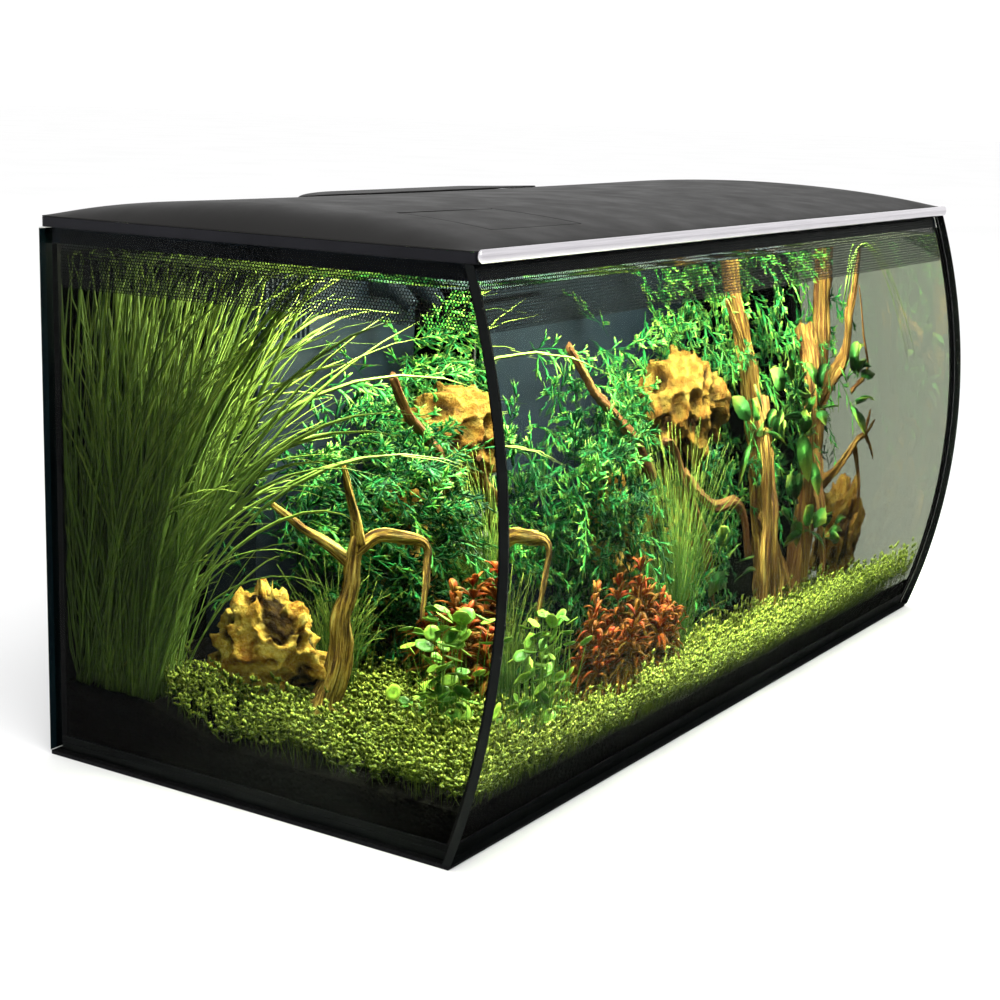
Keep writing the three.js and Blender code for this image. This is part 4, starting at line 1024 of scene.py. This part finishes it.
def broad_leaves():
    """Rosettes of oval leaves on short stalks, set along the right-hand wood."""
    rng = np.random.default_rng(51)
    places = np.array([
        (127, -16, 206), (150, -12, 196), (196, -20, 226), (214, -20, 206),
        (222, -20, 186), (240, -14, 214), (315, -20, 208), (322, -16, 224),
        (206, -20, 132), (240, -20, 118), (276, -20, 104), (92, -12, 112),
    ], float)
    spots = np.repeat(places, 5, axis=0) + rng.normal(0, 5, (5 * len(places), 3))
    n = len(spots)
    azimuth = np.radians(rng.normal(-100, 80, n))
    direction = turned(azimuth, np.radians(rng.normal(25, 30, n)))
    stalk = leaf_spines(spots, direction, 12.0, 0.1, 4)
    up = UP + 0.4 * rng.normal(size=(n, 3)) + 0.8 * turned(azimuth, 0)
    tone = rng.beta(1.4, 2.2, n)
    out = Gathered()
    out.add(stalk, 0.9, up, tone)
    length, droop = rng.uniform(24, 38, n), rng.uniform(0.1, 0.5, n)
    spines = keep_in(leaf_spines(stalk[:, -1], direction, length, droop, 11))
    out.add(spines, leaf_widths(rng.uniform(8, 11.5, n), 11, 0.45, 0.75), up, tone, 0.18, 0.3)
    out.make("broad_leaves", oval_green, "green_leaf", ["broad_leaf_plant"])


def arched_leaves():
    """A few long thin leaves that arch over beside the right pane."""
    rng = np.random.default_rng(52)
    n = 5
    root, crown, tip = np.array([[296, -36, 296], [334, -62, 342], [386, -94, 246]], float)
    t = np.linspace(0, 1, 15)[None, :, None]
    sway = rng.normal(0, 5, (3, n, 1, 3))
    bend = 2 * crown - (root + tip) / 2
    spines = (1 - t) ** 2 * (root + sway[0]) + 2 * t * (1 - t) * (bend + sway[1])
    spines = keep_in(spines + t**2 * (tip + 2 * sway[2]))
    out = Gathered()
    out.add(spines, np.linspace(1.1, 0.2, 15), np.array([0, -1.0, 0.4]), rng.uniform(0.1, 0.5, n))
    out.make("arched_leaves", grass_green, "grass_leaf")


def carpet():
    """Small clover-like plants on thin stalks, all over the front of the soil."""
    zones = {"carpet_left": (-398, -150), "carpet_middle": (-150, 130), "carpet_right": (130, 398)}
    for seed, (name, xs) in enumerate(zones.items(), 60):
        rng = np.random.default_rng(seed)
        n = 1700
        x = rng.uniform(*xs, n)
        y = -168 + (225 + 60 * smooth((-280 - x) / 80)) * rng.beta(1.0, 1.2, n)
        mound = np.array([noise.noise(Vector((a / 42, b / 42, 3.1))) for a, b in zip(x, y)])
        height = (22 + 18 * mound + 18 * rng.uniform(0, 1, n) ** 2).clip(7)
        start = xyz(x, y, soil_z(x, y) - 1)
        azimuth = rng.uniform(0, 2 * math.pi, n)
        way = turned(azimuth, np.radians(rng.normal(70, 16, n).clip(30, 90)))
        stalk = keep_in(leaf_spines(start, way, height, 0, 3), 2.5)
        out = Gathered()
        shade = 0.4 * smooth((x - 60) / 260)
        tone = np.clip(rng.beta(1.8, 2.0, n) + mound * 0.3 + 0.04 - shade, 0, 1)
        out.add(stalk, 0.35, np.array([0, 1.0, 0.1]), tone)
        for tier, share in ((0, 0.55), (1, 0.8), (2, 1.0)):
            base = stalk[:, 0] + (stalk[:, 2] - stalk[:, 0]) * share
            for leaf in range(3):
                around = azimuth + leaf * 2.094 + tier * 0.9 + rng.normal(0, 0.3, n)
                direction = turned(around, np.radians(rng.normal(26 + 12 * tier, 20, n)))
                length, droop = rng.uniform(3.6, 6.4, n), rng.uniform(0, 0.3, n)
                spines = leaf_spines(base, direction, length, droop, 4)
                widths = np.array([0.25, 0.95, 1.0, 0.3])[None, :] * rng.uniform(1.0, 2.0, n)[:, None]
                lit = np.clip(tone * 0.7 + 0.12 * tier + rng.normal(0.02, 0.12, n), 0, 1)
                facing = UP + 0.7 * rng.normal(size=(n, 3))
                out.add(keep_in(spines, 2.5), widths, facing, lit, 0.25)
        out.make(name, carpet_green, "green_leaf")


# ---- stones, wood and soil ----
STONES = {  # centre, half sizes, seed, and how light its colour is: partly the stone's own tone, partly painted shade
    "rock_left": ((-290, 56, 92), (46, 52, 48), 191, 0.9),
    "rock_middle": ((-52, 54, 120), (38, 34, 79), 192, 0.45),
    "rock_upper": ((60, 56, 222), (63, 44, 44), 193, 0.16),
    "rock_base": ((46, 80, 106), (50, 36, 65), 94, 0.35),
    "rock_right": ((334, 10, 98), (54, 42, 52), 95, 0.14),
}
BITE_DEPTH = 0.3
WOOD_SEED = 1794936899


def ball(subdivisions):
    bm = bmesh.new()
    bmesh.ops.create_icosphere(bm, subdivisions=subdivisions, radius=1)
    points = np.array([v.co for v in bm.verts])
    faces = np.array([[v.index for v in f.verts] for f in bm.faces])
    bm.free()
    return points, faces


def stone_shape(points, centre, size, seed):
    """A craggy stone and how deep each point lies: a lumpy ball with broken faces and small bites."""
    rng = np.random.default_rng(seed)
    size = np.array(size)
    swell = np.array([noise.noise(Vector(p) * 1.7 + Vector((seed, 0, 0))) for p in points])
    radius = 1.06 + 0.34 * swell + 0.05 * np.sin(4.4 * points[:, 2] + 2 * seed)
    for _ in range(16):
        toward = points @ unit(rng.normal(size=3))
        face = rng.uniform(0.78, 1.02) / np.maximum(toward, 0.3)
        radius = np.where(toward > 0.3, np.minimum(radius, face), radius)
    broken = radius.copy()
    scale = size / np.mean(size)
    solid = points * scale
    reach = np.linalg.norm(solid, axis=1)
    for _ in range(260):
        bite_r = rng.uniform(0.07, 0.24)
        bite = unit(rng.normal(size=3)) * scale * rng.uniform(0.86, 1.06)
        ahead = solid @ bite / reach
        inside = bite_r**2 - bite @ bite + ahead**2
        cut = (ahead - np.sqrt(np.maximum(inside, 0))) / reach
        radius = np.where((inside > 0) & (ahead > 0), np.minimum(radius, cut), radius)
    radius = np.maximum(radius, broken - BITE_DEPTH)
    depth = (broken - radius) / BITE_DEPTH
    grain = np.array([noise.noise(Vector(p) * 8) + 0.6 * noise.noise(Vector(p) * 19) for p in points])
    rough = radius + 0.035 * grain
    return np.array(centre) + points * size * rough[:, None], np.clip(depth + 0.15 * grain, 0, 1)


def stones():
    fine_points, fine_faces = ball(6)
    for name, (centre, size, seed, pale) in STONES.items():
        shape, pits = stone_shape(fine_points, centre, size, seed)
        build(name + "_stone", shape, [fine_faces], stone, slot="dragon_stone", replaces=[name],
              fields={"pit": pits, "pale": np.full(len(pits), pale)})


def smooth_path(points, steps):
    """Even points along a smooth curve through the given ones."""
    p = np.array(points, float)
    ends = np.vstack([2 * p[0] - p[1], p, 2 * p[-1] - p[-2]])
    t = np.linspace(0, 1, 20, endpoint=False)[:, None]
    runs = []
    for a, b, c, d in zip(ends, ends[1:], ends[2:], ends[3:]):
        square, cube = 2 * a - 5 * b + 4 * c - d, 3 * b - a - 3 * c + d
        runs.append(0.5 * (2 * b + (c - a) * t + square * t**2 + cube * t**3))
    dense = np.vstack([*runs, p[-1:]])
    length = np.concatenate([[0], np.cumsum(np.linalg.norm(np.diff(dense, axis=0), axis=1))])
    even = np.linspace(0, length[-1], steps)
    return np.stack([np.interp(even, length, dense[:, i]) for i in range(3)], 1), length[-1]


def limb(points, r0, r1, seed, flare=0.0):
    """A knotty limb that tapers along a smooth curve, with the grain's coordinates."""
    length = smooth_path(points, 12)[1]
    steps = max(12, int(length / 2.2))
    path, length = smooth_path(points, steps)
    sides = 32
    sway = [noise.noise_vector(Vector(p) / 34 + Vector((seed, 0, 0))) for p in path]
    path = path + np.array(sway) * np.minimum(r0, 6) * np.sin(np.linspace(0, math.pi, steps))[:, None]
    tangent = unit(np.gradient(path, axis=0))
    normal = unit(np.cross(tangent[0], (0.3, 1.0, 0.2)))
    ring, grain = np.empty((1, steps, sides, 3)), np.empty((1, steps, sides, 3))
    turn = np.linspace(0, 2 * math.pi, sides, endpoint=False)
    for i in range(steps):
        normal = unit(normal - tangent[i] * (normal @ tangent[i]))
        other = np.cross(tangent[i], normal)
        share = i / (steps - 1)
        radius = r0 + (r1 - r0) * share + flare * (1 - share) ** 4
        end = math.sqrt(max(0.02, 1 - max(0.0, (share - 0.96) / 0.04) ** 2))
        for j, a in enumerate(turn):
            twist = a + share * length / 120
            c, s = math.cos(twist), math.sin(twist)
            along = share * length
            flute = noise.noise(Vector((c * 1.6 + seed, s * 1.6, along / 55)))
            knot = noise.noise(Vector((c * 0.8, s * 0.8 + seed, along / 24)))
            fine = noise.noise(Vector((c * 5 + seed, s * 5, along / 30)))
            r = radius * end * (0.95 + 0.5 * flute + 0.3 * knot + 0.2 * fine)
            ring[0, i, j] = path[i] + (normal * math.cos(a) + other * math.sin(a)) * r
            grain[0, i, j] = (c * radius * 0.42 + seed, s * radius * 0.42, along * 0.03)
    return ring, grain, tube_faces(1, steps, sides)


# The third value sets how dark the piece is: partly the wood's own tone, partly painted shade.
def driftwood(name, replaced, pale, limbs):
    out = Gathered()
    for k, (path, r0, r1, flare) in enumerate(limbs):
        ring, grain, faces = limb(path, r0, r1, 3.7 * k + len(name), flare)
        out.put(ring, faces, grain=grain.reshape(-1, 3), pale=np.full(ring.size // 3, pale))
    out.make(name, wood, "driftwood", replaced)


def all_driftwood():
    noise.seed_set(WOOD_SEED)  # noise_vector starts from the clock otherwise
    driftwood("driftwood_left_roots", ["driftwood_left"], 1.0, [
        ([(-306, 4, 36), (-292, 0, 80), (-278, -8, 140), (-270, -14, 186)], 10, 6, 6),
        ([(-270, -14, 178), (-276, -10, 210), (-283, -6, 236)], 5.5, 1.5, 0),
        ([(-272, -12, 172), (-256, -30, 186), (-240, -56, 182), (-244, -62, 158), (-262, -66, 128)],
         5, 1.6, 0),
        ([(-276, -10, 164), (-268, 20, 174), (-280, 60, 198)], 5, 2, 0),
        ([(-300, 0, 60), (-288, -20, 52), (-276, -34, 40)], 6, 3, 0),
    ])
    driftwood("driftwood_branch", [], 0.0, [
        ([(-134, 26, 284), (-112, 27, 262), (-97, 26, 246), (-50, 22, 214), (-12, 30, 180)], 3.4, 5.5, 0),
        ([(-30, -6, 214), (-4, 4, 206), (26, 8, 168), (70, 16, 118), (92, 20, 72)], 2.6, 6, 0),
        ([(16, 6, 186), (52, 0, 158), (104, -4, 150), (130, -6, 108)], 4, 4.5, 0),
    ])
    driftwood("driftwood_rear_trunk", ["driftwood_rear"], 0.45, [
        ([(236, 62, 30), (222, 64, 100), (190, 62, 200), (166, 62, 290), (160, 66, 340)], 17, 10, 8),
        ([(214, 60, 120), (236, 34, 84), (258, 18, 50)], 8, 5, 0),
        ([(176, 30, 214), (152, -10, 184), (150, -18, 124), (158, -24, 58)], 8, 6, 3),
        ([(206, 50, 170), (190, 10, 140), (178, -12, 96), (186, -22, 54)], 6, 4, 3),
        ([(196, 50, 130), (214, 14, 96), (206, -10, 52)], 5, 4, 0),
        ([(180, 60, 240), (150, 40, 262), (120, 30, 296)], 6, 2.5, 0),
    ])
    driftwood("driftwood_right_trunk", ["driftwood_right"], 0.2, [
        ([(296, 62, 30), (304, 62, 120), (322, 62, 220), (344, 58, 300), (356, 60, 350)], 16, 12, 6),
        ([(318, 54, 200), (340, 20, 240), (350, 4, 282), (372, 0, 330)], 8, 3, 0),
        ([(300, 60, 252), (262, 20, 226), (246, 4, 196), (244, -4, 136), (254, -10, 70)], 10, 6, 4),
        ([(306, 50, 160), (292, 10, 120), (290, -20, 56)], 8, 4, 3),
        ([(316, 44, 140), (302, -8, 156), (330, -18, 176), (352, -20, 180), (372, -24, 190)], 6, 1.6, 0),
        ([(352, -20, 180), (366, -18, 170), (378, -18, 156)], 3, 1.2, 0),
        ([(350, -20, 180), (358, -26, 200)], 2.6, 1.2, 0),
        ([(332, -16, 172), (346, -20, 142), (352, -18, 108)], 4, 1.8, 0),
        ([(340, 4, 212), (356, -18, 230), (349, -20, 262), (343, -20, 302)], 2.4, 1.3, 0),
    ])


def soil_bed():
    """The soil's uneven bed, which leaves the filter's place free."""
    rng = np.random.default_rng(71)
    side, back = SIDE_X - 1.8, INNER_BACK_Y - 1.8
    near = front_y(40.0, GLASS_T + 1.8)
    free_x, free_y = around("filter_housing", 0.8)
    xs = np.sort([*np.linspace(-side, side, 300), *free_x])
    ys = np.sort([*np.linspace(near, back, 150), *(y for y in free_y if y < back)])
    x, y = np.meshgrid(xs, ys, indexing="ij")
    z = soil_z(x, y) + rng.normal(0, 0.5, x.shape)
    hills = [noise.noise(Vector((a / 60, b / 60, 0))) for a, b in zip(x.ravel(), y.ravel())]
    z += 2.2 * np.array(hills).reshape(x.shape)
    top_y = np.maximum(y, front_y(z, GLASS_T + 1.8))
    under_y = top_y + 14 * (1 - np.clip((top_y - near) / 100, 0, 1)) ** 2
    top = xyz(x, top_y, z)
    under = xyz(x, under_y, FLOOR_Z + 0.9)
    solid = sheet_solid(top, under, cells_outside(xs, ys, [(free_x, free_y)]))
    build("soil_bed", *solid, soil, slot="soil", replaces=["substrate"])


# ---- filter contents ----
def soft_block(name, node, body, material, slot, bulge, lumps):
    """A soft piece that fills its place: rounded, bulging and a little uneven."""
    low, high = box(node)
    centre, half = (low + high) / 2, (high - low) / 2
    points, faces = ball(5)
    shape = np.sign(points) * np.abs(points) ** (0.32 + bulge)
    shape /= np.abs(shape).max(axis=0)
    uneven = np.array([noise.noise(Vector(p * half) / lumps) for p in points])
    shape = centre + shape * half * (0.94 + 0.03 * uneven[:, None])
    piece = build(name, shape, [faces], material, body, slot, [node])


def filter_contents():
    soft_block("foam_sponge", "foam_block", "foam_cartridge", foam, "filter_foam", -0.18, 14)
    soft_block("carbon_pouch", "carbon_bag", "media_basket", carbon, "carbon_mesh", 0.05, 9)
    soft_block("biomedia_pouch", "biomedia_bag", "media_basket", biomedia, "biomedia_mesh", 0.05, 11)


def dress_cad_nodes():
    """Finishes for the CAD nodes that keep their own meshes."""
    finishes = {
        glass: ["left_pane", "right_pane", "back_pane"],
        edge: ["bottom_pane"],
        silicone: ["seam_back_left", "seam_back_right", "seam_bottom", "cable_gland"],
        mat_foam: ["levelling_mat"],
        backdrop: ["background_film"],
        black: ["hood_frame", "lamp_housing"],
        box_black: [
            "rim_frame", "filter_housing", "intake_grille", "pump_housing", "pump_cover",
            "outlet_manifold", "foam_handle", "media_basket", "return_nozzle_1", "return_nozzle_2",
        ],
        steel: ["feed_hinge_pin", "lamp_screw_1", "lamp_screw_2", "lamp_screw_3", "lamp_screw_4"],
        lens: ["lamp_lens"],
        board: ["lamp_board"],
        rotor: ["impeller"],
    }
    for material, names in finishes.items():
        for name in names:
            node = frame["nodes"][name]
            if not node.material_slots:
                node.data.materials.append(material)
            for material_slot in node.material_slots:
                material_slot.material = material


# ---- studio ----
def area_light(name, place, aim, size, power, colour=(1, 1, 1)):
    data = bpy.data.lights.new(name, "AREA")
    data.shape, data.size, data.size_y = "RECTANGLE", size[0], size[1]
    data.energy, data.color = power, colour
    light = bpy.data.objects.new(name, data)
    light.location = place
    light.rotation_mode = "QUATERNION"
    light.rotation_quaternion = (Vector(aim) - Vector(place)).to_track_quat("-Z", "Y")
    bpy.context.scene.collection.objects.link(light)
    return light


def studio():
    world = bpy.data.worlds.new("studio")
    bpy.context.scene.world = world
    world.use_nodes = True
    background = world.node_tree.nodes["Background"]
    background.inputs["Color"].default_value = (1.0, 1.0, 1.0, 1)
    background.inputs["Strength"].default_value = WORLD

    bpy.ops.mesh.primitive_plane_add(size=60, location=(0, 0, 0))
    floor = bpy.context.object
    floor.name = "studio_floor"
    floor.data.materials.append(floor_material())

    area_light("key_light", (-1.2, -1.6, 2.6), (0, 0, 0.3), (2.2, 2.2), 60)
    low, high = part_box("lamp_lens")
    centre = (low + high) / 2
    lamp = area_light(
        "tank_lamp",
        (centre[0], centre[1], low[2] - 0.0016),
        (centre[0], centre[1], 0),
        (high[0] - low[0], high[1] - low[1]),
        LAMP_WATTS,
        (1.0, 1.0, 0.88),
    )
    lamp.parent = frame["bodies"]["hood"]
    lamp.data.cycles.use_multiple_importance_sampling = False
    lamp.visible_camera = False
    view = bpy.context.scene.view_settings
    view.view_transform = "Standard"
    view.look = "None"


def camera():
    azimuth, elevation, roll = (math.radians(a) for a in (-57.589, 12.259, 1.756))
    back = Vector(turned(azimuth - math.pi / 2, elevation))
    right = Vector((math.cos(azimuth), math.sin(azimuth), 0))
    up = back.cross(right)
    tilted = right * math.cos(roll) + up * math.sin(roll)
    upright = up * math.cos(roll) - right * math.sin(roll)
    data = bpy.data.cameras.new("camera")
    data.lens, data.sensor_width = 66.86, 36
    data.clip_start = 0.05
    rig = bpy.data.objects.new("camera", data)
    rig.matrix_world = Matrix.Translation((-1.345255, -0.786547, 0.491558)) @ Matrix(
        (tilted, upright, back)
    ).transposed().to_4x4()
    bpy.context.scene.collection.objects.link(rig)
    bpy.context.scene.camera = rig


camera()
studio()
dress_cad_nodes()
front_pane()
corner_seams()
dot_films()
water_body()
hood_crown()
feed_flap()
service_hatch()
front_trim()
soil_bed()
stones()
all_driftwood()
tall_grass()
fern_thickets()
red_bush()
pennywort()
hair_grass("hair_grass_left_tuft", "hair_grass_left", 81, 200, 100, 15)
hair_grass("hair_grass_middle_tuft", "hair_grass_middle", 82, 300, 176, 13)
broad_leaves()
arched_leaves()
carpet()
filter_contents()
